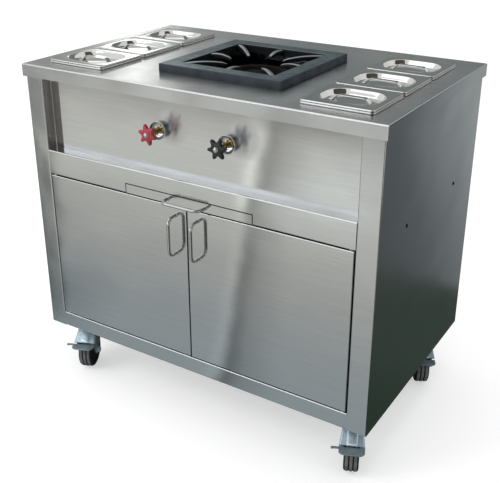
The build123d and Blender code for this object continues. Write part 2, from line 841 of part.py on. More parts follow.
# Food pans and lids, three in a row on each side
rows = (("front", -1), ("middle", 0), ("rear", 1))
rim_z = worktop_height + pan_rim_height
lid_top = rim_z + lid_edge
body_width = pan_width - 2 * pan_rim
body_length = pan_length - 2 * pan_rim
lid_width = pan_width - 2 * lid_inset
lid_length = pan_length - 2 * lid_inset
for side_name, side in sides:
    for row_name, row in rows:
        spot = (side * row_x, cook_y + row * pan_pitch)
        with BuildPart() as pan:
            with BuildSketch(Plane.XY.offset(worktop_height)):
                with Locations(spot):
                    RectangleRounded(pan_width, pan_length, pan_rim_corner)
            extrude(amount=pan_rim_height)
            with BuildSketch(Plane.XY.offset(worktop_height)):
                with Locations(spot):
                    RectangleRounded(
                        pan_width - 2 * pan_sheet, pan_length - 2 * pan_sheet, pan_rim_corner - pan_sheet
                    )
            extrude(amount=pan_rim_height - pan_sheet, mode=Mode.SUBTRACT)
            for wall, floor, mode in ((0, 0, Mode.ADD), (pan_sheet, pan_sheet, Mode.SUBTRACT)):
                for step, drop in ((0, pan_collar), (pan_shoulder, pan_depth)):
                    inset = wall + step
                    with BuildSketch(Plane.XY.offset(rim_z)):
                        with Locations(spot):
                            RectangleRounded(
                                body_width - 2 * inset, body_length - 2 * inset, pan_corner - inset
                            )
                    extrude(amount=floor - drop, mode=mode)
        save(pan, f"{row_name}_{side_name}_pan")

        with BuildPart() as lid:
            with BuildSketch(Plane.XY.offset(lid_top)):
                with Locations(spot):
                    RectangleRounded(lid_width, lid_length, lid_corner)
            extrude(amount=-lid_edge)
            with BuildSketch(Plane.XY.offset(lid_top - pan_sheet)):
                with Locations(spot):
                    RectangleRounded(
                        lid_width - 2 * pan_sheet, lid_length - 2 * pan_sheet, lid_corner - pan_sheet
                    )
            extrude(amount=-(lid_edge - pan_sheet), mode=Mode.SUBTRACT)
            with BuildSketch(Plane.XY.offset(lid_top)):
                with Locations(spot):
                    RectangleRounded(recess_length, recess_width, recess_corner)
            extrude(amount=-recess_depth, taper=recess_taper)
            with BuildSketch(Plane.XY.offset(lid_top)):
                with Locations(spot):
                    RectangleRounded(
                        recess_length - 2 * pan_sheet, recess_width - 2 * pan_sheet, recess_corner - pan_sheet
                    )
            extrude(amount=-(recess_depth - pan_sheet), taper=recess_taper, mode=Mode.SUBTRACT)
            strap_low = lid_top - recess_depth + pan_sheet + strap_sheet
            bridge = [
                (spot[0] - strap_length / 2, strap_low),
                (spot[0] - strap_length / 2 + strap_foot, strap_low),
                (spot[0] - strap_length / 2 + strap_foot + strap_slope, lid_top),
                (spot[0] + strap_length / 2 - strap_foot - strap_slope, lid_top),
                (spot[0] + strap_length / 2 - strap_foot, strap_low),
                (spot[0] + strap_length / 2, strap_low),
            ]
            with BuildSketch(front_plane(spot[1] - strap_width / 2)):
                make_face(folded(bridge, Side.RIGHT, strap_sheet))
            extrude(amount=-strap_width)
        save(lid, f"{row_name}_{side_name}_lid")

# Castor plates: top plate, bearing race and king pin of each castor
plate_bottom = cabinet_bottom - castor_plate
race_bottom = plate_bottom - race_height
crown_top = race_bottom - fit
crown_bottom = crown_top - fork_sheet
with BuildPart() as castor_plates:
    for spot in castor_spots:
        with BuildSketch(Plane.XY.offset(plate_bottom)):
            with Locations(spot):
                Rectangle(plate_width, plate_length)
        extrude(amount=castor_plate)
        add_disc(Plane.XY.offset(race_bottom), spot, race_radius, race_height)
        add_disc(Plane.XY.offset(race_bottom), spot, kingpin_radius, crown_bottom - fit - race_bottom)
        add_disc(Plane.XY.offset(crown_bottom - fit), spot, kingpin_head_radius, -kingpin_head)
save(castor_plates, "castor_plates")

# Castors: fork, tyre, hub and brake pedal, each turned to its own heading
fork_inner = tyre_width / 2 + fork_room
fork_outer = fork_inner + fork_sheet
hood_corner = (
    trail + (wheel_radius + hood_room) * cos(radians(hood_angle)),
    wheel_radius + (wheel_radius + hood_room) * sin(radians(hood_angle)),
)
hood_length = sqrt((hood_corner[0] - trail) ** 2 + (crown_top - hood_corner[1]) ** 2)
tread_edge = (
    trail + (wheel_radius + pedal_room) * cos(radians(pedal_angle)),
    wheel_radius + (wheel_radius + pedal_room) * sin(radians(pedal_angle)),
)
pedal_pivot = (
    trail + (wheel_radius - pedal_pivot_inset) * cos(radians(pedal_pivot_angle)),
    wheel_radius + (wheel_radius - pedal_pivot_inset) * sin(radians(pedal_pivot_angle)),
)
leg_outline = [
    (-leg_rear, crown_bottom),
    (trail, crown_bottom),
    hood_corner,
    (hood_corner[0] - hood_lip / 2, hood_corner[1] - hood_lip),
    (trail + leg_end_radius, wheel_radius),
    (trail - leg_end_radius, wheel_radius),
    (-leg_rear, crown_bottom - leg_shoulder),
]
castors = (
    ("front_left", -castor_x, castor_front, -66),
    ("front_right", castor_x, castor_front, -67),
    ("rear_right", castor_x, castor_back, -61),
    ("rear_left", -castor_x, castor_back, -62),
)
for name, x, y, heading in castors:
    along = Vector(cos(radians(heading)), sin(radians(heading)), 0)
    across = along.cross(Vector(0, 0, 1))
    plan = Plane(origin=(x, y, 0), x_dir=along, z_dir=(0, 0, 1))
    profile = Plane(origin=(x, y, 0), x_dir=along, z_dir=across)
    wheel_centre = Vector(x, y, wheel_radius) + along * trail
    wheel_section = Plane(origin=wheel_centre, x_dir=across, z_dir=across.cross(Vector(0, 0, 1)))
    axle = Axis(wheel_centre, across)

    with BuildPart() as fork:
        with BuildSketch(plan.offset(crown_bottom)):
            Circle(crown_radius)
            with Locations((trail / 2, 0)):
                Rectangle(trail, 2 * fork_outer)
        extrude(amount=fork_sheet)
        for level in (fork_inner, -fork_outer):
            with BuildSketch(profile.offset(level)):
                Polygon(*leg_outline, align=None)
                with Locations((trail, wheel_radius)):
                    Circle(leg_end_radius)
            extrude(amount=fork_sheet)
        hood_down = (along * (hood_corner[0] - trail) + Vector(0, 0, hood_corner[1] - crown_top)).normalized()
        hood_start = Vector(x, y, crown_top) + along * trail
        with BuildSketch(Plane(origin=hood_start, x_dir=across, z_dir=across.cross(hood_down))):
            Polygon(
                (-hood_top_half, 0),
                (hood_top_half, 0),
                (hood_foot_half, hood_length),
                (-hood_foot_half, hood_length),
                align=None,
            )
        extrude(amount=-fork_sheet)
        cut_holes(plan.offset(crown_bottom), [(0, 0)], kingpin_radius + running, fork_sheet)
        cut_holes(profile.offset(-fork_outer), [pedal_pivot], pedal_pin + running, 2 * fork_outer)
        axle_half = fork_outer + axle_end
        add_disc(profile.offset(-axle_half), (trail, wheel_radius), axle_radius, 2 * axle_half)
    save(fork, f"{name}_fork")

    with BuildPart() as tyre:
        half = tyre_width / 2
        with BuildSketch(wheel_section):
            with Locations((0, (tyre_inner + wheel_radius) / 2)):
                Rectangle(tyre_width, wheel_radius - tyre_inner)
            for edge in (-1, 1):
                Polygon(
                    (edge * half, wheel_radius),
                    (edge * (half - tyre_edge), wheel_radius),
                    (edge * half, wheel_radius - tyre_edge),
                    align=None,
                    mode=Mode.SUBTRACT,
                )
        revolve(axis=axle)
    save(tyre, f"{name}_tyre")

    with BuildPart() as hub:
        with BuildSketch(wheel_section):
            with Locations((0, (tyre_inner - running) / 2)):
                Rectangle(2 * hub_half, tyre_inner - running)
            with Locations((0, hub_boss_radius / 2)):
                Rectangle(2 * (fork_inner - fit), hub_boss_radius)
            with Locations((0, (axle_radius + running) / 2)):
                Rectangle(4 * fork_inner, axle_radius + running, mode=Mode.SUBTRACT)
        revolve(axis=axle)
    save(hub, f"{name}_hub")

    with BuildPart() as brake_pedal:
        with BuildSketch(plan.offset(tread_edge[1])) as tread:
            with Locations((tread_edge[0] + pedal_length / 2, 0)):
                Rectangle(pedal_length, pedal_width)
            fillet(tread.vertices().group_by(Axis.X)[-1], pedal_corner)
            with Locations((tread_edge[0] + pedal_wing_width / 2, -(pedal_width + pedal_wing) / 2)):
                Rectangle(pedal_wing_width, pedal_wing)
            with Locations((tread_edge[0] + pedal_wing_tip, -pedal_width / 2 - pedal_wing)):
                Circle(pedal_wing_tip)
        extrude(amount=-pedal_sheet)
        ear_outer = fork_inner - ear_room
        for level, outward in ((ear_outer - ear_sheet, 1), (ear_sheet - ear_outer, -1)):
            with BuildSketch(profile.offset(level)):
                with Locations(pedal_pivot):
                    Circle(pedal_boss)
                with Locations((tread_edge[0] + pedal_boss / 2, tread_edge[1] - pedal_sheet / 2)):
                    Rectangle(pedal_boss, pedal_sheet)
                make_hull()
            extrude(amount=outward * ear_sheet)
            add_disc(
                profile.offset(outward * ear_outer), pedal_pivot, pedal_pin, outward * (fork_outer - ear_outer)
            )
    save(brake_pedal, f"{name}_brake_pedal")
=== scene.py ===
# %% [markdown]
# # A stainless cooking trolley
# The real object is a cabinet folded from stainless sheet, on four braked castors. Its top carries a cast
# grate over a gas burner and two rows of food pans under polished lids. The measured solids come from the
# frame, in metres, and stay where they are. This lesson gives them their finishes and makes again the pieces
# whose shape is soft or fine: pressed lids, the casting, the star wheels, the tyres and the fasteners. Places
# are in metres, and fine shapes are written in millimetres.

# %% Load the frame
import json
from math import cos, pi, radians, sin

import bmesh
import bpy
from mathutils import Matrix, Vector


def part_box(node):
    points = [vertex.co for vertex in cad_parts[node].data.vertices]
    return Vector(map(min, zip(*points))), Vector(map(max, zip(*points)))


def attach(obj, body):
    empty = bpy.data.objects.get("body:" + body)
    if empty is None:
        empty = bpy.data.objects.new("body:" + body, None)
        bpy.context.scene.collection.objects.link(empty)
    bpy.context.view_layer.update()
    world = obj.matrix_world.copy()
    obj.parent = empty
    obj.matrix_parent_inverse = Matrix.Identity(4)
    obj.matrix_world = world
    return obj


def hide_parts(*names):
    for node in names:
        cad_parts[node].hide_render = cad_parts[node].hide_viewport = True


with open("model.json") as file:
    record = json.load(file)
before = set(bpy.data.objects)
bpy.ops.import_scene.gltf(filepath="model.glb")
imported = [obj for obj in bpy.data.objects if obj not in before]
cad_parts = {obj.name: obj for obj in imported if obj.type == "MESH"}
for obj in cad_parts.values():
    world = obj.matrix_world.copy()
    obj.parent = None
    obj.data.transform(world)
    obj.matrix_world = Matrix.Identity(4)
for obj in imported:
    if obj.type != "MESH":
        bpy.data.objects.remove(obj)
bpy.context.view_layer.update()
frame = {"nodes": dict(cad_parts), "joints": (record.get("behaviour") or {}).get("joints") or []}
nodes = frame["nodes"]
joints = {joint["name"]: joint for joint in frame["joints"]}
mm = 0.001
print("nodes in the frame:", len(nodes), "joints:", len(joints))

# %% [markdown]
# ## Camera
# The photograph was taken from the front right, a little above the worktop. Its place was found by fitting
# the corners of the worktop and of the cabinet. The view is a little off the optical axis, so a small shift
# of the picture keeps the upright edges leaning as they do there.

# %% Camera
picture_width = 500  # pixels
focal_pixels = 817.7
picture_shift = -0.063
camera_place = Vector((1.079, -1.7275, 1.3659))
camera_aim = Vector((-0.0043, 0, 0.4953))

lens = bpy.data.cameras.new("camera")
lens.sensor_width = 36
lens.lens = focal_pixels / picture_width * lens.sensor_width
lens.shift_y = picture_shift
camera = bpy.data.objects.new("camera", lens)
camera.location = camera_place
camera.rotation_euler = (camera_aim - camera_place).to_track_quat("-Z", "Y").to_euler()
bpy.context.collection.objects.link(camera)
bpy.context.scene.camera = camera
print("focal length in mm:", round(lens.lens, 2))

# %% [markdown]
# ## Shader helpers
# A finish is a small tree of shader nodes. It could be drawn by hand in the shader editor, but here one
# helper adds a node and feeds its sockets with numbers or links, so that a finish stays short to read. The
# other helpers are steps that finishes share, such as a noise or a stack of bumps.

# %% Shader helpers


def new_finish(name):
    """A new material, with its node tree and its main shader."""
    finish = bpy.data.materials.new(name)
    finish.use_nodes = True
    return finish, finish.node_tree, finish.node_tree.nodes["Principled BSDF"]


def feed(tree, made, inputs):
    """Give the sockets of a node their values, or link them to the sockets of other nodes."""
    for key, value in inputs.items():
        if isinstance(value, bpy.types.NodeSocket):
            tree.links.new(value, made.inputs[key])
        else:
            made.inputs[key].default_value = value


def add(tree, kind, inputs, **settings):
    """A new shader node with its settings made and its sockets fed."""
    made = tree.nodes.new(f"ShaderNode{kind}")
    for name, value in settings.items():
        setattr(made, name, value)
    feed(tree, made, inputs)
    return made


def own_place(tree):
    """The place of a point of the object, as a socket."""
    return add(tree, "TexCoord", {}).outputs["Object"]


def noise(tree, scale, detail=2, stretch=(1, 1, 1)):
    """A noise at the object's own places, stretched along X, Y and Z."""
    size = add(tree, "Mapping", {"Vector": own_place(tree), "Scale": stretch}).outputs["Vector"]
    return add(tree, "TexNoise", {"Vector": size, "Scale": scale, "Detail": detail}).outputs["Fac"]


def spread(tree, value, low, high, start=0.35, end=0.65):
    """Spread a stretch of a value, usually the middle of a noise, over a range of numbers."""
    reach = {"From Min": start, "From Max": end, "To Min": low, "To Max": high}
    return add(tree, "MapRange", {"Value": value, **reach}).outputs["Result"]


def tone(tree, value, dark, light):
    """Mix two colours, each written out or taken from a socket, by a value between 0 and 1."""
    ends = [(*colour, 1) if isinstance(colour, tuple) else colour for colour in (dark, light)]
    mix = {"A": ends[0], "B": ends[1], "Factor": value}
    return add(tree, "Mix", mix, data_type="RGBA").outputs["Result"]


def cloudy(tree, scale, dark, light):
    """Two colours in clouds."""
    return tone(tree, spread(tree, noise(tree, scale, 5), 0, 1), dark, light)


def relief(tree, shader, *layers):
    """Stack bumps, each given as its height, its depth in metres and its strength."""
    under = {}
    for height, depth, strength in layers:
        bump = add(tree, "Bump", {"Height": height, "Distance": depth, "Strength": strength, **under})
        under = {"Normal": bump.outputs["Normal"]}
    feed(tree, shader, under)


def ball(tree, centre, reach):
    """A value that falls from 1 at a place to 0 at a reach, which is given along X, Y and Z."""
    away = {"Vector": own_place(tree), "Location": centre, "Scale": reach}
    apart = add(tree, "Mapping", away, vector_type="TEXTURE").outputs["Vector"]
    return add(tree, "TexGradient", {"Vector": apart}, gradient_type="SPHERICAL").outputs["Fac"]


print("shader helpers ready")

# %% [markdown]
# ## Floor and lamps
# The floor is white paper. Its own light, which only the camera and the mirrors see, lifts it to the white of
# the photograph's ground, and what falls on it still leaves the shadow. The sky is lifted for them in the
# same way, and lights the trolley a little less. One large soft lamp stands at the front left and a weaker
# one hangs above, so that paint and rubber show about the colour that is written for them. Mirrors don't see
# the lamps: what they see is set in the next step.

# %% Floor and lamps
paper_grey = (0.64, 0.64, 0.64, 1)
paper_glow = 0.5
sky_light = 0.78
sky_seen = 1
white = (1, 1, 1, 1)


def level(x, y, z):
    """Corners of a level sheet, from where it begins and ends along X and Y, and its height."""
    return [(x[0], y[0], z), (x[1], y[0], z), (x[1], y[1], z), (x[0], y[1], z)]


def upright(x, y, z):
    """Corners of an upright sheet over a line between two places, from its foot to its top."""
    return [(x[0], y[0], z[0]), (x[1], y[1], z[0]), (x[1], y[1], z[1]), (x[0], y[0], z[1])]


def stage_sheet(name, corners):
    """A flat four-cornered sheet of the studio, which is no part of the trolley."""
    mesh = bpy.data.meshes.new(name)
    mesh.from_pydata(corners, [], [(0, 1, 2, 3)])
    sheet = bpy.data.objects.new(name, mesh)
    bpy.context.collection.objects.link(sheet)
    return sheet


def seen_rays(tree, least, most):
    """A strength that is most where the camera or a mirror looks, and least for the light that it gives."""
    rays = add(tree, "LightPath", {}).outputs
    seen = rays["Is Camera Ray"]
    for kind in ("Is Glossy Ray", "Is Transmission Ray"):
        seen = add(tree, "Math", {0: seen, 1: rays[kind]}, operation="MAXIMUM").outputs[0]
    return spread(tree, seen, least, most, 0, 1)


def soft_lamp(name, place, aim, size, power):
    """A square area lamp that faces a point."""
    lamp = bpy.data.lights.new(name, "AREA")
    lamp.shape = "SQUARE"
    lamp.size = size
    lamp.energy = power
    stand = bpy.data.objects.new(name, lamp)
    stand.location = place
    stand.rotation_euler = (Vector(aim) - Vector(place)).to_track_quat("-Z", "Y").to_euler()
    stand.visible_glossy = False
    bpy.context.collection.objects.link(stand)


floor = stage_sheet("floor", level((-12, 12), (-12, 12), 0))
paper, tree, shader = new_finish("white_paper")
feed(tree, shader, {"Base Color": paper_grey, "Roughness": 0.95, "Specular IOR Level": 0.1,
                    "Emission Color": white, "Emission Strength": seen_rays(tree, 0, paper_glow)})
floor.data.materials.append(paper)

world = bpy.data.worlds.new("studio")
world.use_nodes = True
tree = world.node_tree
feed(tree, tree.nodes["Background"], {"Color": white, "Strength": seen_rays(tree, sky_light, sky_seen)})

scene = bpy.context.scene
scene.world = world
scene.view_settings.view_transform = "Standard"
soft_lamp("key", (-1.9, -2.6, 2.9), aim=(0, 0, 0.5), size=1.8, power=52)
soft_lamp("top", (0.4, 0.2, 3.2), aim=(0, 0, 0.8), size=1.4, power=16)
print("lamps:", len(bpy.data.lights))

# %% [markdown]
# ## Cards for the steel
# Steel has hardly any colour of its own: it shows what stands round it. A white studio would make every face
# white, so the studio gets cards that mirrors alone can see, as flags beside a photographer's table. The
# colour of a card runs along one axis, and soft spots lighten or darken it where a mirror shows such a place.

# %% Card helpers


def colour_run(tree, value, stops):
    """Colours along a value: each stop is a place on it with its red, green and blue."""
    first = stops[0][0]
    last = stops[-1][0]
    ramp = add(tree, "ValToRGB", {"Fac": spread(tree, value, 0, 1, first, last)})
    elements = ramp.color_ramp.elements
    while len(elements) < len(stops):
        elements.new(0.5)
    for element, (at, *colour) in zip(elements, stops):
        element.position = (at - first) / (last - first)
        element.color = (*colour, 1)
    return ramp.outputs["Color"]


def bent_strip(tree, path, reach, light, shade):
    """A light strip on the floor with a shadow at its right, along a path of places given as y and x."""
    first, left = path[0]
    last, right = path[-1]
    place = add(tree, "SeparateXYZ", {"Vector": own_place(tree)}).outputs
    course = add(tree, "FloatCurve", {"Value": spread(tree, place["Y"], 0, 1, first, last)})
    for y, x in path[1:-1]:
        course.mapping.curves[0].points.new((y - first) / (last - first), (x - left) / (right - left))
    course.mapping.update()
    middle = spread(tree, course.outputs["Value"], left, right, 0, 1)
    beside = add(tree, "Math", {0: place["X"], 1: middle}, operation="SUBTRACT").outputs[0]
    half_shade = (1 + shade) / 2
    profile = [(-4, 1), (-2.2, 1.02), (-1.24, light), (-0.64, light), (0.68, shade), (1.16, shade),
               (2.72, half_shade), (8, 1)]
    return colour_run(tree, beside, [(share * reach, grey, grey, grey) for share, grey in profile])


def card(name, corners, axis, stops, spots=(), strip=None, turn=0):
    """A card for mirrors: colours along an axis, which may be turned, then spots and a strip if given."""
    sheet = stage_sheet(name, corners)
    finish, tree, shader = new_finish(name)
    place = add(tree, "Mapping", {"Vector": own_place(tree), "Rotation": (0, 0, turn)}).outputs["Vector"]
    colour = colour_run(tree, add(tree, "SeparateXYZ", {"Vector": place}).outputs[axis], stops)
    for centre, reach, glow in spots:
        colour = tone(tree, ball(tree, centre, reach), colour, glow)
    if strip:
        both = {"A": colour, "B": bent_strip(tree, *strip), "Factor": 1}
        colour = add(tree, "Mix", both, data_type="RGBA", blend_type="MULTIPLY").outputs["Result"]
    feed(tree, shader, {"Emission Color": colour, "Emission Strength": 1, "Base Color": (0, 0, 0, 1),
                        "Specular IOR Level": 0})
    sheet.data.materials.append(finish)
    for ray in ("camera", "diffuse", "shadow", "transmission"):
        setattr(sheet, f"visible_{ray}", False)


print("card helpers ready")

# %% [markdown]
# ### Cards on the floor
# A runner in front is dark in the distance, pale two metres away and grey near the trolley. A light strip on
# it, with a shadow beside it, becomes a soft upright band on the front. Darker cards lie on both sides of the
# runner and under the trolley. The floor at the right grows paler towards the back, and the side panel shows
# it so.

# %% Cards on the floor
floor_card = 2 * mm
upper_card = 3 * mm
band = [(-2.8, -1.4), (-2.55, -1.22), (-2.375, -1.09), (-2.125, -0.935), (-1.905, -0.81), (-1.685, -0.72),
        (-1.3, -0.485), (-1.06, -0.355), (-0.855, -0.245), (-0.675, -0.15), (-0.5, -0.05)]  # y and x
joint_at = 5  # the place on the band where the two runners meet
joint_y = band[joint_at][0]
right_turn = radians(-63.8)

card("far_runner", level((-6, 0.6), (-6, joint_y), floor_card), "Y",
     [(-6, 0.32, 0.32, 0.3), (-3.6, 0.32, 0.32, 0.3), (-2.85, 0.36, 0.36, 0.34), (-2.45, 0.87, 0.87, 0.82),
      (joint_y, 0.85, 0.88, 0.83)],
     spots=[((-0.38, -1.8, 0), (0.55, 0.55, 0.55), (1.12, 1.18, 1.18)),
            ((-0.8, -2.9, 0), (0.72, 0.45, 0.45), (0.1, 0.1, 0.1))],
     strip=(band[:joint_at + 1], 0.036, 1.75, 0.4))
card("near_runner", level((-6, 0.6), (joint_y, -0.36), floor_card), "Y",
     [(joint_y, 0.85, 0.88, 0.83), (-1.35, 0.63, 0.64, 0.61), (-0.95, 0.51, 0.53, 0.52),
      (-0.7, 0.42, 0.47, 0.49), (-0.36, 0.38, 0.45, 0.48)],
     spots=[((-0.92, -0.48, 0), (0.42, 0.42, 0.42), (0.2, 0.24, 0.26))],
     strip=(band[joint_at:], 0.026, 1.16, 0.52))
card("front_left_floor",
     [(-6, -2.7, upper_card), (-2.98, -2.7, upper_card), (-0.66, -0.5, upper_card), (-6, -0.5, upper_card)],
     "Y", [(-2.7, 0.36, 0.37, 0.35), (-1.35, 0.22, 0.235, 0.22), (-0.5, 0.15, 0.18, 0.19)])
card("front_right_floor", level((0.6, 4), (-5, -0.7), floor_card), "X",
     [(0.6, 0.26, 0.25, 0.23), (1.5, 0.26, 0.25, 0.23), (2, 0.12, 0.11, 0.1), (4, 0.3, 0.3, 0.3)])
card("under_floor", level((-0.5, 0.5), (-0.36, 0.5), floor_card), "Y",
     [(-0.36, 0.12, 0.14, 0.15), (-0.2, 0.03, 0.035, 0.035), (0.5, 0.02, 0.025, 0.025)])
card("right_runner", level((0.5, 2.4), (0.78, 5), upper_card), "Y",
     [(-0.9, 0.095, 0.113, 0.118), (-0.46, 0.105, 0.122, 0.127), (-0.315, 0.125, 0.145, 0.15),
      (-0.22, 0.18, 0.205, 0.21), (-0.06, 0.28, 0.31, 0.32), (0, 0.33, 0.365, 0.375),
      (0.17, 0.4, 0.44, 0.445), (0.44, 0.45, 0.495, 0.5)],
     turn=right_turn)
card("right_near_floor", level((0.5, 2.4), (-0.7, 0.78), upper_card), "Y",
     [(-0.7, 0.03, 0.045, 0.035), (0, 0.035, 0.055, 0.042), (0.3, 0.05, 0.07, 0.058),
      (0.7, 0.05, 0.07, 0.058), (0.78, 0.08, 0.1, 0.09)])
print("the two runners in front meet at y:", joint_y)

# %% [markdown]
# ### Upright and overhead cards
# A dark flag at the right grows paler towards the back, as the floor there does. A card with one bright place
# stands behind for the top, and a bright window beside it. A dark ceiling, and dark walls in front and at the
# front right, give the polished lids and cups their dark corners. Two bright cards, one in front and one
# overhead, are drawn out into thin light lines by the bends and the ledge.

# %% Upright and overhead cards
card("right_flag", upright((1.3, 1.3), (0.2, 5), (0, 1.5)), "Y",
     [(0.2, 0.052, 0.063, 0.064), (1.74, 0.105, 0.122, 0.127), (1.9, 0.13, 0.155, 0.16),
      (2.14, 0.19, 0.22, 0.23), (2.38, 0.235, 0.265, 0.275), (2.62, 0.305, 0.34, 0.345),
      (2.86, 0.4, 0.44, 0.445), (5, 0.435, 0.475, 0.48)])
card("back_card", upright((-5, 0.8), (2.2, 2.2), (0, 3.4)), "X",
     [(-5, 1.2, 1.2, 1.2), (-3.7, 0.9, 0.9, 0.9), (-3.25, 0.3, 0.31, 0.3), (-3, 0.33, 0.34, 0.33),
      (-2.7, 0.46, 0.47, 0.45), (-1.9, 0.42, 0.44, 0.43), (-1.45, 0.29, 0.32, 0.32), (-1, 0.2, 0.23, 0.23),
      (-0.7, 0.23, 0.25, 0.25), (0.8, 0.21, 0.23, 0.23)],
     spots=[((-2.25, 2.2, 1.68), (0.44, 0.44, 0.317), (3.8, 3.9, 3.8))])
card("back_window", upright((0.7, 2), (2.1, 2.1), (1.25, 2.3)), "Z",
     [(1.25, 0.8, 0.8, 0.78), (2.3, 0.95, 0.95, 0.93)])
card("dark_ceiling", level((0.5, 4), (-3, 0.5), 3.3), "X", [(0.5, 0.12, 0.1, 0.085), (4, 0.07, 0.058, 0.048)])
card("dark_wall", upright((0.9, 4), (-3.2, -2.2), (0.9, 3.3)), "Z",
     [(0.9, 0.3, 0.29, 0.27), (1.85, 0.28, 0.27, 0.25), (2.2, 0.08, 0.07, 0.055), (3.3, 0.06, 0.05, 0.04)])
card("fill_card", upright((-3, 0.1), (-2.6, -2.6), (1, 1.7)), "Z",
     [(1, 2.7, 2.95, 3.15), (1.7, 2.7, 2.95, 3.15)])
card("dark_front", upright((-0.6, 0.9), (-3, -3), (1.75, 3.2)), "Z",
     [(1.75, 0.07, 0.06, 0.05), (3.2, 0.07, 0.06, 0.05)])
card("sky_window", level((-2.6, -0.4), (-1.8, -0.2), 3.4), "X",
     [(-2.6, 2.2, 2.2, 2.2), (-0.4, 2.2, 2.2, 2.2)])

# %% [markdown]
# ## Brushed sheet
# Stainless sheet for kitchens is brushed in one direction, with fine lines a few tenths of a millimetre
# apart. The lines smear a reflection across themselves, which is what anisotropic gloss does, and they also
# vary the tone a little. Cheap thin sheet is never quite flat, so slow waves in the bump bend what it
# mirrors. Finger smears change the gloss in patches, and beside each star wheel hands have rubbed the panel
# dull. The grain runs along X on the front and on the top, and along Y on the sides.

# %% Brushed sheet
steel_dark = (0.54, 0.54, 0.536)
steel_light = (0.58, 0.58, 0.574)
upright_lines = (6, 6, 900)
level_lines = (6, 900, 6)
dull_reach = (58 * mm,) * 3
dull_gloss = 0.25
dull_fade = 0.6  # the share of the reach over which a dull place fades in
beside_star = Vector((31, 45, 14)) * mm


def brushed_sheet(name, lines, waves, depth, gloss, dull=()):
    """Brushed stainless: lines stretch the grain, waves of a depth buckle it, and dull places are rubbed."""
    finish, tree, shader = new_finish(name)
    grain = noise(tree, 1, 3, lines)
    rough = spread(tree, noise(tree, 7, 4), gloss[0], gloss[1])
    for centre in dull:
        fade = spread(tree, ball(tree, centre, dull_reach), 0, 1, 0, dull_fade)
        fade.node.interpolation_type = "SMOOTHSTEP"
        rough = add(tree, "Mix", {"Factor": fade, "A": rough, "B": dull_gloss}).outputs["Result"]
    normal = add(tree, "NewGeometry", {}).outputs["Normal"]
    across = add(tree, "VectorMath", {0: normal, 1: (0, 0.1, 1)}, operation="CROSS_PRODUCT")
    colour = tone(tree, spread(tree, grain, 0, 1), steel_dark, steel_light)
    feed(tree, shader, {"Base Color": colour, "Roughness": rough, "Tangent": across.outputs["Vector"],
                        "Metallic": 1, "Anisotropic": 0.9, "Anisotropic Rotation": 0.25})
    relief(tree, shader, (noise(tree, 1, 1.5, waves), depth, 1), (grain, 0.1 * mm, 0.025))
    return finish


stars = [Vector(joints[f"{colour}_knob_turn"]["pos_m"]) for colour in ("red", "black")]
front_sheet = brushed_sheet("front_sheet", upright_lines, (2.6, 1, 4.5), 5 * mm, (0.1, 0.14))
panel_sheet = brushed_sheet("panel_sheet", upright_lines, (3.4, 1, 6), 2 * mm, (0.1, 0.13),
                            dull=[star + beside_star for star in stars])
side_sheet = brushed_sheet("side_sheet", upright_lines, (6, 2.5, 4), 4 * mm, (0.13, 0.19))
top_sheet = brushed_sheet("top_sheet", level_lines, (2.2, 2.2, 1), 3 * mm, (0.18, 0.24))
print("brushed sheets:", [sheet.name for sheet in (front_sheet, panel_sheet, side_sheet, top_sheet)])

# %% Put the sheets on the solids


def dress(finish, *names):
    """Give CAD nodes a finish in place of the one that they came with."""
    for name in names:
        mesh = nodes[name].data
        mesh.materials.clear()
        mesh.materials.append(finish)


dress(top_sheet, "worktop")
dress(panel_sheet, "control_panel")
dress(front_sheet, "mid_rail", "left_door", "right_door", "drip_tray", "base_panel", "tray_runners",
      "burner_cradle")
dress(side_sheet, "left_side_panel", "right_side_panel", "back_panel")
print("finish of the doors:", nodes["left_door"].data.materials[0].name)

# %% [markdown]
# ## Other metals
# The lids and the cups are polished: the same steel with hardly any grain, a few dull smears and a slight
# orange-peel. The wire of the handles and the pans are duller. Castors are pressed steel with bright zinc,
# whose blue tint and small crystals show up close, and the forks and pedals get a darker copy of the zinc,
# which is painted shade. Brass and copper of a gas train are turned or drawn, and tarnish in clouds.

# %% Other metals


def bare_metal(name, colour, tint, gloss, clouds, peel=0.02 * mm, metal=1):
    """A metal whose colour and gloss change in clouds, with a fine peel; metal is lower under a dull film."""
    finish, tree, shader = new_finish(name)
    cloud = noise(tree, clouds, 4)
    feed(tree, shader, {"Base Color": tone(tree, spread(tree, cloud, 0, 1), colour, tint),
                        "Roughness": spread(tree, cloud, gloss[0], gloss[1]), "Metallic": metal})
    relief(tree, shader, (noise(tree, 60, 2), peel, 1), (noise(tree, 900, 2), 0.02 * mm, 0.3))
    return finish


polished_steel = bare_metal("polished_steel", (0.66, 0.66, 0.65), (0.6, 0.6, 0.59), (0.05, 0.12), 16)
wire_steel = bare_metal("wire_steel", (0.5, 0.5, 0.495), (0.42, 0.42, 0.41), (0.18, 0.28), 40)
pan_steel = bare_metal("pan_steel", (0.58, 0.58, 0.57), (0.52, 0.52, 0.51), (0.16, 0.26), 20, 0.04 * mm)
zinc = bare_metal("zinc_plate", (0.54, 0.68, 0.77), (0.42, 0.54, 0.61), (0.2, 0.34), 70, 0.05 * mm, 0.5)
# a darker copy of the zinc: painted shade on the forks and pedals
shaded_zinc = bare_metal("shaded_zinc", (0.3, 0.38, 0.41), (0.22, 0.28, 0.3), (0.28, 0.42), 70, 0.05 * mm, 0.5)
black_steel = bare_metal("black_steel", (0.05, 0.05, 0.05), (0.03, 0.03, 0.03), (0.3, 0.5), 60, 0.05 * mm)
brass = bare_metal("brass", (0.5, 0.37, 0.16), (0.32, 0.23, 0.1), (0.2, 0.36), 90)
copper = bare_metal("copper", (0.66, 0.35, 0.22), (0.42, 0.22, 0.14), (0.25, 0.42), 60)

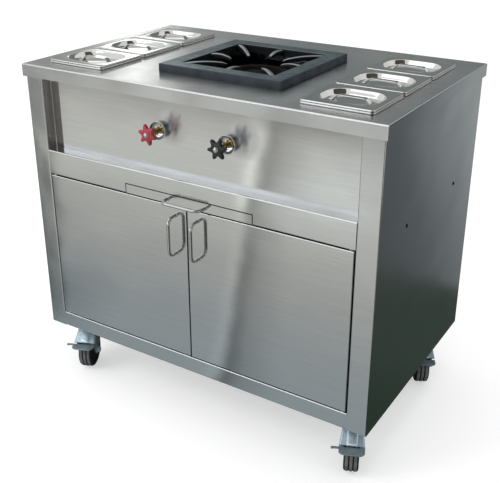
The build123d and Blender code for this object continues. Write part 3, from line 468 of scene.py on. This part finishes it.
dress(wire_steel, "left_door_handle", "right_door_handle", "tray_handle", "left_hinge_pins",
      "right_hinge_pins")
dress(zinc, "castor_plates", "base_channels")
dress(brass, "gas_valves")
dress(copper, "supply_tubes")
print("finish of the handles:", nodes["tray_handle"].data.materials[0].name)

# %% [markdown]
# ## Cast iron, paint, rubber and nylon
# These have a colour of their own. Cast iron is pitted by the sand that it was poured in, and here it is
# black with soot, with painted shade besides on the burner and inside the grate's opening. Paint on the star
# wheels is thick and glossy, with dull rubbed places. Tyre rubber is dusty where it runs, and the moulded hub
# has the fine leather grain of a mould.

# %% Cast iron, paint, rubber and nylon


def coloured_solid(name, dark, light, gloss, clouds, pits, pit_depth, shine=0.5):
    """A coloured material that is cloudy in colour and gloss and finely pitted."""
    finish, tree, shader = new_finish(name)
    rough = spread(tree, noise(tree, clouds * 2.3, 3), gloss[0], gloss[1])
    feed(tree, shader, {"Base Color": cloudy(tree, clouds, dark, light), "Roughness": rough,
                        "Specular IOR Level": shine})
    relief(tree, shader, (noise(tree, pits / 6, 3), 3 * pit_depth, 0.6),
           (noise(tree, pits, 2), pit_depth, 0.8))
    return finish


# near black: soot with painted shade, as the burner lies deep under the grate
burner_soot_and_shade = coloured_solid(
    "burner_soot_and_shade", (0.003, 0.003, 0.003), (0.008, 0.007, 0.006), (0.7, 0.9), 30, 600, 0.3 * mm, 0.1)
red_paint = coloured_solid(
    "red_paint", (0.3, 0.024, 0.033), (0.4, 0.036, 0.047), (0.22, 0.42), 90, 400, 0.05 * mm)
black_paint = coloured_solid(
    "black_paint", (0.01, 0.012, 0.012), (0.022, 0.026, 0.026), (0.3, 0.5), 90, 400, 0.05 * mm, 0.35)
tyre_rubber = coloured_solid(
    "tyre_rubber", (0.006, 0.009, 0.009), (0.014, 0.018, 0.018), (0.55, 0.8), 35, 900, 0.06 * mm, 0.3)
tyre_tread = coloured_solid(
    "tyre_tread", (0.105, 0.112, 0.114), (0.17, 0.178, 0.178), (0.7, 0.9), 60, 900, 0.06 * mm, 0.2)
hub_nylon = coloured_solid(
    "hub_nylon", (0.008, 0.012, 0.011), (0.018, 0.024, 0.022), (0.42, 0.6), 40, 800, 0.04 * mm, 0.3)
pipe_paint = coloured_solid(
    "pipe_paint", (0.15, 0.15, 0.14), (0.2, 0.2, 0.19), (0.35, 0.55), 40, 300, 0.08 * mm)

dress(pipe_paint, "gas_manifold")
dress(burner_soot_and_shade, "burner_body", "burner_rings")
print("finish of the burner:", nodes["burner_body"].data.materials[0].name)

# %% [markdown]
# ## A skin over rings
# Most of the pieces that follow are rounded shells. Each could be carved from a cube with modifiers, but a
# row of rings says the shape outright: every ring is a closed line of equally many points, and a skin joins
# ring to ring. One bmesh can take many skins, so that all the bolts on one body become one piece.

# %% Skin helpers


def skin(shape, rings, start=True, end=True):
    """Join rings of equal length into a skin inside a bmesh, and close its ends."""
    rows = [[shape.verts.new(point) for point in ring] for ring in rings]
    count = len(rows[0])
    for low, high in zip(rows, rows[1:]):
        for i in range(count):
            j = (i + 1) % count
            shape.faces.new((low[i], low[j], high[j], high[i]))
    if start:
        shape.faces.new(rows[0][::-1])
    if end:
        shape.faces.new(rows[-1])


def place_piece(name, shape, body, finish, slot, *stands_for):
    """Turn a bmesh into a smooth piece that rides on a body and may stand for CAD nodes."""
    bmesh.ops.recalc_face_normals(shape, faces=shape.faces)
    mesh = bpy.data.meshes.new(name)
    shape.to_mesh(mesh)
    shape.free()
    mesh.shade_smooth()
    mesh.set_sharp_from_angle(angle=radians(40))
    mesh.materials.append(finish)
    piece = bpy.data.objects.new(name, mesh)
    bpy.context.collection.objects.link(piece)
    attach(piece, body)
    if stands_for:
        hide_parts(*stands_for)
    return piece


def ring_round(origin, axis, far, reaches):
    """A ring round an axis, far along it and through points at the reaches given, in millimetres."""
    along = Vector(axis).normalized()
    out = along.orthogonal().normalized()
    third = along.cross(out)
    middle = Vector(origin) + along * (far * mm)
    ring = []
    for i, reach in enumerate(reaches):
        angle = 2 * pi * i / len(reaches)
        ring.append(middle + (out * cos(angle) + third * sin(angle)) * (reach * mm))
    return ring


def turned(shape, origin, axis, profile, points=24, closed=False):
    """Turn a profile round an axis: pairs of far along and radius. A closed one makes a ring with a hole."""
    rings = [ring_round(origin, axis, far, [radius] * points) for far, radius in profile]
    if closed:
        rings.append(rings[0])
    skin(shape, rings, not closed, not closed)
    if closed:
        bmesh.ops.remove_doubles(shape, verts=shape.verts, dist=1e-6)


def hexagon_head(shape, origin, axis, corner, height):
    """A hexagon bolt head or nut, with its corners turned off at the top, in millimetres."""
    points = 36
    rings = []
    for far, size, roundness in ((0, 0.94, 0.6), (0.12, 1, 0), (0.8, 1, 0), (1, 0.9, 1)):
        reaches = []
        for i in range(points):
            flat = cos(pi / 6) / cos(2 * pi * i / points % (pi / 3) - pi / 6)
            reaches.append(corner * size * (flat + (0.95 - flat) * roundness))
        rings.append(ring_round(origin, axis, far * height, reaches))
    skin(shape, rings)


def mirrored(half):
    """The other half of a profile or a section, read backwards."""
    return [(-across, up) for across, up in half[::-1]]


def between(ends, share):
    """A size at a share of the way from one end to the other."""
    return ends[0] + (ends[1] - ends[0]) * share


four_corners = ((1, 1), (-1, 1), (-1, -1), (1, -1))
print("skin helpers ready")

# %% [markdown]
# ### Pressed shapes
# Lids and pans are stacks of rounded rectangles. Each ring is an outline drawn in by an inset at a height, so
# the shape of the pressing can be read as a list of insets and heights.

# %% Pressed shapes
pan_places = [f"{row}_{side}" for row in ("front", "middle", "rear") for side in ("left", "right")]
corner_steps = 10


def rounded_rectangle(width, length, corner, height):
    """A ring with the outline of a rectangle with round corners, in metres from millimetres."""
    ring = []
    for quarter, (right, back) in enumerate(four_corners):
        for step in range(corner_steps + 1):
            angle = (quarter + step / corner_steps) * pi / 2
            x = right * (width / 2 - corner) + corner * cos(angle)
            y = back * (length / 2 - corner) + corner * sin(angle)
            ring.append(Vector((x, y, height)) * mm)
    return ring


def stack(outline, steps):
    """Rings of an outline (width, length and corner), each drawn in by an inset at a height."""
    width, length, corner = outline
    return [rounded_rectangle(width - 2 * inset, length - 2 * inset, corner - inset, height)
            for inset, height in steps]


def node_outline(name, corner):
    """The width and length of a CAD node in millimetres, with a corner radius."""
    low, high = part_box(name)
    return ((high.x - low.x) / mm, (high.y - low.y) / mm, corner)


def set_copies(shape, kind, way, finish, slot, drop=0):
    """Set a copy of a shape in the place of each lid or pan, with its zero a drop below the node's top."""
    for place in pan_places:
        solid = f"{place}_{kind}"
        low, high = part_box(solid)
        copy = shape.copy()
        spot = ((low.x + high.x) / 2, (low.y + high.y) / 2, high.z - drop)
        bmesh.ops.translate(copy, verts=copy.verts, vec=spot)
        place_piece(f"{place}_{way}_{kind}", copy, solid, finish, slot, solid)
    shape.free()


print("places for pans:", pan_places)

# %% [markdown]
# ## Pressed lids
# Each lid is one thin pressing: a turned-down edge, a deep recess for the fingers with rounded shoulders, and
# a bridge strap spot-welded across it to lift by. A press leaves no sharp edge, and it is these small radii
# that draw the bright lines on polished steel, so the lid is skinned ring by ring from its underside, round
# the edge and into the recess. Heights are counted from its top face.

# %% Pressed lids
lid_outline = node_outline("front_left_lid", 9)
recess = (140, 110, 45)  # width, length and corner of its mouth
lid_under = [(9.9, -14), (7.2, -13.4), (5.6, -11), (0, -1.4)]
lid_edge = [(3.5, -1), (2.6, -1.4), (2.4, -4.3), (2, -4.5), (1.3, -4.1), (0.5, -3.2), (0.05, -2.3),
            (0.1, -1.4), (0.6, -0.6), (1.5, -0.15), (2.7, 0)]
lid_recess = [(-3.6, 0), (-1.8, -0.15), (-0.4, -0.7), (0.5, -1.6), (5.4, -9.6), (6.6, -11.4), (8, -12.5),
              (10, -13)]
strap_foot = -11.5
strap_half_line = [(0, 0, 0), (30, 0, 0), (32.5, -0.35, 18), (34.5, -1.5, 42), (41.5, -8.6, 45),
                   (43.6, -10.6, 40), (45.6, -11.4, 12), (47.5, strap_foot, 0), (57.4, strap_foot, 0),
                   (58, -11.9, 0)]  # x, height and slope in degrees
strap_half = 7
strap_sheet = 1.5
strap_edge = 0.45  # how far its edges are broken
weld_mark = [(0, 2.4), (0.12, 2.2), (0.12, 1.6), (0.03, 0.8)]
weld_x = 52.5
weld_y = 3


def strap_rings():
    """Rings along the bent strap, which lies on the recess floor at both ends."""
    stations = [(-x, height, -slope) for x, height, slope in strap_half_line[:0:-1]] + strap_half_line
    flat = strap_half - strap_edge
    upper = -strap_edge
    lower = strap_edge - strap_sheet
    section = [(strap_half, upper), (flat, 0), (-flat, 0), (-strap_half, upper), (-strap_half, lower),
               (-flat, -strap_sheet), (flat, -strap_sheet), (strap_half, lower)]
    rings = []
    for x, height, slope in stations:
        lean = radians(slope)
        ring = [(x + down * sin(lean), y, height + down * cos(lean)) for y, down in section]
        rings.append([Vector(point) * mm for point in ring])
    return rings


lid_shape = bmesh.new()
skin(lid_shape, stack(recess, lid_under) + stack(lid_outline, lid_edge) + stack(recess, lid_recess))
skin(lid_shape, strap_rings())
for x in (-weld_x, weld_x):
    for y in (-weld_y, weld_y):
        turned(lid_shape, Vector((x, y, strap_foot)) * mm, (0, 0, 1), weld_mark, points=16)
set_copies(lid_shape, "lid", "pressed", polished_steel, "polished_steel")
print("pressed lids:", len(pan_places))

# %% [markdown]
# ## Food pans
# A food pan is drawn from one sheet: a rim rolled over at its edge, a flat flange that the lid lies on, an
# upright collar, a small shoulder on which stacked pans rest, and a floor with a wide radius. The roll shows
# as a thin light line with a dark one under it. It is skinned as the lid is, from below, round the roll and
# down inside. Heights are counted from the worktop.

# %% Food pans
pan_outline = node_outline("front_left_pan", 10)
pan_body = (152, 138, 23)  # width, length and corner of its upper wall
pan_rise = 5 * mm
pan_outside = [(13, -95), (9.5, -94.2), (6.5, -92), (4.2, -88.5), (3.2, -84), (3, -22), (2.6, -20.6),
               (0.4, -19.4), (0, -18), (0, 2.8), (-0.8, 3.8)]
pan_roll = [(4.9, 3.9), (4.7, 1.6), (3.7, 0.4), (2.5, 0), (1.3, 0.3), (0.4, 1.2), (0, 2.5), (0.4, 3.8),
            (1.3, 4.7), (2.5, 4.9)]
pan_inside = [(-1.6, 4.9), (-0.2, 4.75), (0.7, 4.2), (1, 3.2), (1, -19.2), (1.4, -20.4), (3.6, -21.4),
              (4, -22.6), (4, -84), (4.4, -88), (5.6, -91.2), (8, -93.4), (12, -94)]

pan_shape = bmesh.new()
skin(pan_shape, stack(pan_body, pan_outside) + stack(pan_outline, pan_roll) + stack(pan_body, pan_inside))
set_copies(pan_shape, "pan", "drawn", pan_steel, "stainless_sheet", drop=pan_rise)
print("food pans:", len(pan_places))

# %% [markdown]
# ## Cast iron in use
# Upper faces of the grate are paler than its sides, partly from the wear of pans and partly as painted light,
# and a painted sheen makes them palest at the front left corner. Pans rub the ridges of its fingers bright.
# Inside the opening, soot from the flames and painted shade make the sides near black. This could be painted
# on, but a finish that looks at which way a face points, and at whether it lies inside the frame, needs no
# picture.

# %% Cast iron in use
low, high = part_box("grate")
grate_middle = (low + high) / 2
grate_half = (high.x - low.x) / 2
grate_foot = low.z
grate_height = high.z - low.z
bar_width = 40 * mm
opening_half = grate_half - bar_width
# near black inside the opening: soot and painted shade
soot_and_shade_black = (0.003, 0.004, 0.004)
bright_iron = (0.36, 0.385, 0.39)
# painted sheen: the upper faces of the grate are palest at the front left corner, darker towards the back
# right
diagonal = 0.7
painted_sheen_start = diagonal * (grate_middle.x + grate_middle.y) - 1.26 * grate_half

cast_iron, tree, shader = new_finish("cast_iron")
place = own_place(tree)
sheen_way = add(tree, "VectorMath", {0: place, 1: (diagonal, diagonal, 0)}, operation="DOT_PRODUCT")
painted_sheen = spread(tree, sheen_way.outputs["Value"], 0, 1, painted_sheen_start, painted_sheen_start + grate_half)
# colour of the upper faces: wear from pans with painted light, and the painted sheen
top_wear_and_painted_light = tone(tree, painted_sheen, cloudy(tree, 14, (0.08, 0.105, 0.115), (0.135, 0.165, 0.175)),
            cloudy(tree, 14, (0.034, 0.05, 0.056), (0.06, 0.08, 0.088)))
square = {"Vector": place, "Location": grate_middle, "Scale": (opening_half, opening_half, 1)}
inside = add(tree, "Mapping", square, vector_type="TEXTURE").outputs["Vector"]
away = add(tree, "VectorMath", {0: inside}, operation="ABSOLUTE").outputs["Vector"]
apart = add(tree, "SeparateXYZ", {"Vector": away}).outputs
farthest = add(tree, "Math", {0: apart["X"], 1: apart["Y"]}, operation="MAXIMUM").outputs[0]
# 1 inside the opening, where soot and painted shade darken the sides
soot_and_shade_inside = spread(tree, farthest, 1, 0, 1, 1.012)
normal = add(tree, "NewGeometry", {}).outputs["Normal"]
# faces that point up: partly wear, partly painted light that makes the top paler than the sides
facing_up = spread(tree, add(tree, "SeparateXYZ", {"Vector": normal}).outputs["Z"], 0, 1, 0.6, 0.97)
ridge = add(tree, "Math", {0: facing_up, 1: soot_and_shade_inside}, operation="MULTIPLY").outputs[0]
raw = cloudy(tree, 22, (0.026, 0.034, 0.043), (0.042, 0.052, 0.062))
iron = tone(tree, facing_up, tone(tree, soot_and_shade_inside, raw, soot_and_shade_black), top_wear_and_painted_light)
gloss = {"Factor": ridge, "A": spread(tree, noise(tree, 50, 3), 0.4, 0.62), "B": 0.24}
feed(tree, shader, {"Base Color": tone(tree, ridge, iron, bright_iron),
                    "Metallic": spread(tree, ridge, 0, 0.9), "Specular IOR Level": 0.2,
                    "Roughness": add(tree, "Mix", gloss).outputs["Result"]})
relief(tree, shader, (noise(tree, 110, 3), 0.75 * mm, 0.6), (noise(tree, 700, 2), 0.25 * mm, 0.8))
print("opening of the grate in mm:", round(2 * opening_half / mm))

# %% [markdown]
# ## Cast grate
# The grate is one rough casting: a heavy square frame and eight fingers that arch up towards the open middle.
# A casting has no sharp edge either, and the round backs of the fingers catch the light. The frame is one
# skin that goes round the square with a mitre at each corner, and every finger is a skin of rounded sections
# from its root to its tip.

# %% Cast grate
bar_section = [(0.4, 0), (0, 0.6), (0, 18.2), (0.5, 19.7), (1.6, 20.7), (3, 21), (37.4, 21), (38.9, 20.7),
               (39.8, 19.6), (40, 18), (39.2, 0.8), (38.6, 0)]  # inset and height
finger_side = [(1, 0.1), (1, 0.55), (0.93, 0.78), (0.7, 0.93), (0.35, 0.99)]
finger_section = finger_side + [(0, 1)] + mirrored(finger_side) + [(-0.8, 0), (0.8, 0)]
finger_tip = 72 * mm  # from the middle
finger_root = opening_half + 0.2 * bar_width
corner_root = 1.41 * finger_root
finger_half = (7.6 * mm, 5.2 * mm)  # at the root and at the tip
finger_depth = (14.5 * mm, 9.5 * mm)
root_rise = 0.8  # the share of the grate's height that a finger has at its root
arch_share = 0.92  # of a half wave
arch_fullness = 0.8
tip_fall = 5 * mm
tip_round = 2 * mm
tip_narrow = 0.62
finger_steps = 14
grate_base = Vector((grate_middle.x, grate_middle.y, grate_foot))


def square_bar(shape):
    """The frame of the grate: its section carried round the four corners."""
    rings = []
    for right, back in four_corners + four_corners[:1]:
        ring = []
        for inset, height in bar_section:
            reach = grate_half - inset * mm
            ring.append(grate_base + Vector((right * reach, back * reach, height * mm)))
        rings.append(ring)
    skin(shape, rings, start=False, end=False)
    bmesh.ops.remove_doubles(shape, verts=shape.verts, dist=1e-6)


def finger(shape, turn, root):
    """One arched finger towards the middle, thicker at its root and rounded off at its tip."""
    direction = Vector((cos(turn), sin(turn), 0))
    beside = Vector((-sin(turn), cos(turn), 0))
    rings = []
    for step in range(finger_steps + 1):
        share = step / finger_steps
        reach = between((root, finger_tip), share)
        half = between(finger_half, share)
        arch = sin(pi * arch_share * share) ** arch_fullness
        top = grate_height * between((root_rise, 1), arch) - tip_fall * share ** 3
        deep = top - between(finger_depth, share)
        if step == finger_steps:
            half *= tip_narrow
            top -= tip_round
            deep += tip_round
        ring = []
        for across, up in finger_section:
            spot = grate_base + Vector((0, 0, between((deep, top), up)))
            ring.append(spot + direction * reach + beside * (half * across))
        rings.append(ring)
    skin(shape, rings)


grate_shape = bmesh.new()
square_bar(grate_shape)
for quarter in range(4):
    finger(grate_shape, quarter * pi / 2, finger_root)
    finger(grate_shape, (quarter + 0.5) * pi / 2, corner_root)
place_piece("cast_grate", grate_shape, "grate", cast_iron, "cast_iron", "grate")
print("length of a straight finger in mm:", round((finger_root - finger_tip) / mm))

# %% [markdown]
# ## Star wheels, stems and cups
# Each valve is turned by a cast star with six round lobes, held on a brass stem by a small nut, in front of a
# polished cup. The star is skinned from rings whose radius swells six times on the way round, and each stays
# turned as the last hand left it. A domed nut closes the end of the stem.

# %% Star wheels, stems and cups
lobes = 6
star_root = 16
lobe_reach = 10
lobe_power = 1.9  # a higher one makes thinner lobes
star_points = 96
star_boss = [(7.6, 9.3), (7.2, 9.9), (1.6, 10.2), (0.6, 11.2), (0.2, 12.6)]  # depth behind, and radius
star_rim = [(3.4, 0.1), (1.4, 0.8), (0.3, 2.2), (0, 3.6), (0, 6), (0.4, 7.6), (1.5, 9), (3.2, 9.7)]
star_face = [(9.9, 12.4), (10.4, 11), (10.6, 8), (10.6, 4)]
nut_seat = 10.5
nut_cap = [(2.1, 6.2), (3, 6), (4.2, 5.2), (5, 3.8), (5.5, 2), (5.6, 0.5)]
cup = [(-0.2, 12), (-1.6, 15), (-4, 18.2), (-7.4, 20.8), (-11, 22), (-14.2, 22.5), (-14.8, 22.4), (-15, 22),
       (-14.8, 21.6), (-11, 20.9), (-7.6, 19.6), (-4.6, 17.2), (-2.4, 14.2), (-1.3, 11), (-1.2, 7.2),
       (0, 7.2), (0, 11.4)]
gland = [(-1.3, 9), (-3, 9.4), (-8, 9.4), (-9, 8.8), (-9.2, 7), (-12, 6.8), (-12.4, 6.3), (-12.4, 5.4),
         (-1.3, 5.4)]
cup_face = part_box("bezel_cups")[1].y
panel_face = cup_face / mm
backward = (0, 1, 0)
forward = (0, -1, 0)


def star_ring(x, z, turn, depth, inset=0, round_radius=0):
    """A ring of the turned star at a depth along Y, or a plain circle if a radius is given."""
    ring = []
    for i in range(star_points):
        angle = 2 * pi * i / star_points
        swell = (0.5 + 0.5 * cos(lobes * (angle - pi / 2 - turn))) ** lobe_power
        radius = round_radius or star_root + lobe_reach * swell - inset * between((0.75, 1), swell)
        ring.append(Vector((x + radius * mm * cos(angle), depth * mm, z + radius * mm * sin(angle))))
    return ring


def star_wheel(x, z, back, turn):
    """The skin of a star: its boss behind, its rim of lobes and its face."""
    rings = [star_ring(x, z, turn, back + depth, round_radius=radius) for depth, radius in star_boss]
    rings += [star_ring(x, z, turn, back - depth, inset) for inset, depth in star_rim]
    rings += [star_ring(x, z, turn, back - depth, round_radius=radius) for depth, radius in star_face]
    star = bmesh.new()
    skin(star, rings)
    return star


cup_shape = bmesh.new()
gland_shape = bmesh.new()
for colour, paint, turn in (("red", red_paint, radians(16)), ("black", black_paint, radians(-21))):
    knob = f"{colour}_knob"
    x, star_back, z = joints[f"{knob}_turn"]["pos_m"]
    back = star_back / mm
    place_piece(f"{colour}_star_wheel", star_wheel(x, z, back, turn), knob, paint, f"{colour}_paint", knob)

    low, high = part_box(f"{knob}_spindle")
    front = low.y / mm
    rear = high.y / mm
    stem = bmesh.new()
    steps = [(rear, 4.4), (rear - 1, 5), (panel_face - 13, 5), (panel_face - 14, 4.6), (back + 8, 4.6),
             (back + 7, 3.9), (front + 0.6, 3.9), (front, 3.3)]
    turned(stem, (x, 0, z), backward, steps, points=32)
    place_piece(f"{colour}_stem", stem, knob, brass, "brass", f"{knob}_spindle")

    nut = bmesh.new()
    nut_place = (x, (back - nut_seat) * mm, z)
    hexagon_head(nut, nut_place, forward, corner=7.4, height=2.2)
    turned(nut, nut_place, forward, nut_cap, points=32)
    place_piece(f"{colour}_wheel_nut", nut, knob, wire_steel, "polished_steel")

    turned(cup_shape, (x, cup_face, z), backward, cup, points=64, closed=True)
    turned(gland_shape, (x, cup_face, z), backward, gland, points=6, closed=True)
place_piece("polished_cups", cup_shape, "cabinet", polished_steel, "polished_steel", "bezel_cups")
place_piece("gland_nuts", gland_shape, "cabinet", brass, "brass")
print("lobes of a star wheel:", lobes)

# %% [markdown]
# ## Castors
# A castor's tyre is moulded with round shoulders and two grooves, its hub has a dished web, and the fork and
# the pedal are pressed from sheet with broken edges. Tyre and hub are turned from profiles. Fork and pedal
# keep the solid's shape: a copy of its mesh, cleaned to flat faces, takes a bevel modifier.

# %% Tyres and hubs
castors = ("front_left", "front_right", "rear_left", "rear_right")
tyre_half = [(0, 50), (3.2, 50), (3.6, 49.3), (3.9, 48.4), (6.8, 48.4), (7.1, 49.3), (7.5, 49.9),
             (12.6, 49.7), (14.6, 49), (16.6, 47.6), (18, 45.4), (18.6, 42.6), (18.4, 39.5), (17.4, 38.2),
             (15.8, 37.4), (13.4, 37), (13.2, 36.2)]  # far along the axle, and radius
hub_half = [(13.2, 36.2), (13.4, 35.4), (13, 34), (9, 32.6), (7.4, 30), (7.2, 20), (8.6, 16.4), (12, 14.4),
            (20, 13.6), (20.6, 12.8), (20.6, 6.4), (20, 5.2), (0, 5.2)]
tread_radius = 49.3 * mm


def dust_tread(tyre, spin):
    """Give the faces that run on the floor the dusty rubber."""
    tyre.data.materials.append(tyre_tread)
    axle = Vector(spin["axis"])
    for face in tyre.data.polygons:
        from_axle = face.center - Vector(spin["pos_m"])
        from_axle -= axle * from_axle.dot(axle)
        face.material_index = int(from_axle.length > tread_radius)


def moulded(name, part, profile, finish):
    """A tyre or a hub, turned round its axle."""
    spin = joints[f"{name}_wheel_spin"]
    shape = bmesh.new()
    turned(shape, spin["pos_m"], spin["axis"], profile, points=72, closed=True)
    return place_piece(f"{name}_moulded_{part}", shape, f"{name}_wheel", finish, part, f"{name}_{part}")


for name in castors:
    tyre = moulded(name, "tyre", mirrored(tyre_half) + tyre_half[1:], tyre_rubber)
    dust_tread(tyre, joints[f"{name}_wheel_spin"])
    moulded(name, "hub", mirrored(hub_half) + hub_half[:-1], hub_nylon)
print("wheels:", len(castors))

# %% Forks and pedals


def soften(part, body, finish, slot, width):
    """A copy of a CAD node with broken edges, which stands for it."""
    shape = bmesh.new()
    shape.from_mesh(nodes[part].data)
    bmesh.ops.remove_doubles(shape, verts=shape.verts, dist=1e-5)
    bmesh.ops.dissolve_limit(shape, angle_limit=radians(2), verts=shape.verts, edges=shape.edges)
    piece = place_piece(f"{part}_soft", shape, body, finish, slot, part)
    bevel = piece.modifiers.new("broken_edges", "BEVEL")
    bevel.width = width
    bevel.segments = 2
    bevel.limit_method = "ANGLE"
    bevel.angle_limit = radians(35)
    bevel.harden_normals = True


# the forks and pedals take the darker zinc, which is painted shade
for name in castors:
    soften(f"{name}_fork", f"{name}_castor", shaded_zinc, "zinc", 0.8 * mm)
    soften(f"{name}_brake_pedal", f"{name}_brake", shaded_zinc, "zinc", 0.6 * mm)
print("forks and pedals:", 2 * len(castors))

# %% [markdown]
# ### Hoods
# Over the slope of each fork lies a pressed hood with a raised rib down its middle and edges turned down at
# the sides. It is skinned from its top to its foot: each ring is the bent line of the sheet, there and back.

# %% Hoods
hood_sheet = 1.2
hood_edge = -7
hood_half = (22, 30)  # at the top and at the foot
hood_reach = 38.5 * mm
hood_fall = 38.7 * mm
hood_shares = (0.02, 0.06, 0.12, 0.2, 0.8, 0.88, 0.94, 0.98)  # of the way from top to foot
rib_height = 2.6
rib_start = 0.2
rib_end = 0.12


def hood_ring(half, rib):
    """One ring of a hood, as places across the fork and proud of it, in millimetres."""
    half_line = [(0, hood_sheet + rib), (9.4, hood_sheet + rib), (10.8, hood_sheet + 0.75 * rib),
                 (12, hood_sheet + 0.2 * rib), (13.4, hood_sheet), (half - 3.4, hood_sheet), (half - 1, 0.7),
                 (half + 0.6, -0.8), (half + 1.2, -3), (half + 1.2, hood_edge)]
    inside = [(half + 0.2, hood_edge), (half + 0.2, -2.6), (half - 0.8, -0.6), (half - 2, 0.1)]
    return mirrored(half_line[1:]) + half_line + inside + mirrored(inside)


for name in castors:
    wheel = Vector(joints[f"{name}_wheel_spin"]["pos_m"])
    ahead = wheel - Vector(joints[f"{name}_swivel"]["pos_m"])
    ahead.z = 0
    ahead.normalize()
    beside = Vector((-ahead.y, ahead.x, 0))
    proud_way = (ahead + Vector((0, 0, 1))).normalized()
    crown = Vector((wheel.x, wheel.y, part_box(f"{name}_fork")[1].z))
    rings = []
    for share in hood_shares:
        start = crown + ahead * (hood_reach * share) - Vector((0, 0, hood_fall * share))
        rib = rib_height * min(1, share / rib_start, (1 - share) / rib_end)
        line = hood_ring(between(hood_half, share), rib)
        rings.append([start + beside * (across * mm) + proud_way * (proud * mm) for across, proud in line])
    hood = bmesh.new()
    skin(hood, rings)
    place_piece(f"{name}_hood", hood, f"{name}_castor", zinc, "zinc")
print("hoods:", len(castors))

# %% [markdown]
# ## Fasteners and welds
# What holds a folded cabinet together is small: rivets in the returns of the stiles, screws through the sides
# into the arms of the tray runners, bolts in the castor plates, a nut on each end of an axle, and a bead of
# weld round each foot of a wire handle. All that sit on one body are skinned into one piece.

# %% Rivets, screws and ground welds
panel_low, panel_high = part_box("right_side_panel")
stile_inner = panel_low.x
rivet_y = panel_low.y + 10 * mm
rivet_heights = (835 * mm, 708 * mm)
runner_low, runner_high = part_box("tray_runners")
front_screw = runner_low.y + 128.2 * mm
screw_y = (front_screw, front_screw + 306 * mm)
screw_z = (runner_low.z + runner_high.z) / 2
rail_low, rail_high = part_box("base_panel")
seam_section = [(-2.4, -0.2), (-2.4, 0.01), (-1.2, 0.1), (0, 0.14), (1.2, 0.1), (2.4, 0.01), (2.4, -0.2)]
seam_stations = [(rail_low.z + 0.6 * mm, 0.2), (rail_low.z + 1.2 * mm, 1), (rail_high.z - 1.2 * mm, 1),
                 (rail_high.z - 0.6 * mm, 0.2)]  # height, and the share of the section's rise


def dome(shape, origin, axis, radius, height):
    """A low round head."""
    profile = [(-0.3, 1), (0.15, 1), (0.6, 0.86), (0.9, 0.55), (1, 0.15)]
    turned(shape, origin, axis, [(far * height, share * radius) for far, share in profile])


rivets = bmesh.new()
screws = bmesh.new()
seams = bmesh.new()
for side in (-1, 1):
    for z in rivet_heights:
        dome(rivets, (side * stile_inner, rivet_y, z), (-side, 0, 0), radius=2.6, height=1.3)
    for y in screw_y:
        dome(screws, (side * panel_high.x, y, screw_z), (side, 0, 0), radius=5, height=2)
    rings = []
    for z, rise in seam_stations:
        rings.append([(side * stile_inner + across * mm, rail_low.y - proud * rise * mm, z)
                      for across, proud in seam_section])
    skin(seams, rings)
place_piece("stile_rivets", rivets, "cabinet", wire_steel, "polished_steel")
place_piece("side_screws", screws, "cabinet", black_steel, "black_paint")
place_piece("ground_welds", seams, "cabinet", front_sheet, "stainless_sheet")
print("rivets:", 2 * len(rivet_heights), "screws:", 2 * len(screw_y))

# %% Bolts and nuts of the castors
bolt_across = 33 * mm
bolt_along = 40 * mm
plate_sheet = 4 * mm
plate_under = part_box("castor_plates")[1].z - plate_sheet
bolt_washer = [(-0.5, 8), (1.2, 8), (1.5, 7.6)]
bolt_seat = plate_under - 1.4 * mm
axle_washer = [(-0.4, 11), (1.3, 11), (1.6, 10.6)]
axle_seat = 1.5 * mm
fork_half = 24 * mm
downward = (0, 0, -1)

bolts = bmesh.new()
for name in castors:
    x, y, _ = joints[f"{name}_swivel"]["pos_m"]
    for right in (-bolt_across, bolt_across):
        for back in (-bolt_along, bolt_along):
            turned(bolts, (x + right, y + back, plate_under), downward, bolt_washer)
            hexagon_head(bolts, (x + right, y + back, bolt_seat), downward, corner=6.8, height=5)
place_piece("castor_bolts", bolts, "cabinet", zinc, "zinc")

for name in castors:
    spin = joints[f"{name}_wheel_spin"]
    axle = bmesh.new()
    for side in (-1, 1):
        outward = Vector(spin["axis"]).normalized() * side
        start = Vector(spin["pos_m"]) + outward * fork_half
        turned(axle, start, outward, axle_washer, points=32)
        hexagon_head(axle, start + outward * axle_seat, outward, corner=9.2, height=6.5)
    place_piece(f"{name}_axle_nuts", axle, f"{name}_castor", zinc, "zinc")
print("castor bolts:", 4 * len(castors))

# %% Welds of the handles
wire = 4  # radius
bead = [(0.02, wire + 1.5), (0.4, wire + 1), (0.8, wire + 0.5), (1.4, wire + 0.2), (2.2, wire + 0.02)]

for handle, body, ends in (("left_door_handle", "left_door", "Z"), ("right_door_handle", "right_door", "Z"),
                           ("tray_handle", "drip_tray", "X")):
    low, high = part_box(handle)
    middle = (low + high) / 2
    beads = bmesh.new()
    for end, inward in ((low, wire * mm), (high, -wire * mm)):
        x = end.x + inward if ends == "X" else middle.x
        z = end.z + inward if ends == "Z" else middle.z
        turned(beads, (x, high.y, z), forward, bead)
    place_piece(f"{handle}_welds", beads, body, wire_steel, "polished_steel")
print("a bead of weld is wider than its wire by mm:", bead[0][1] - wire)
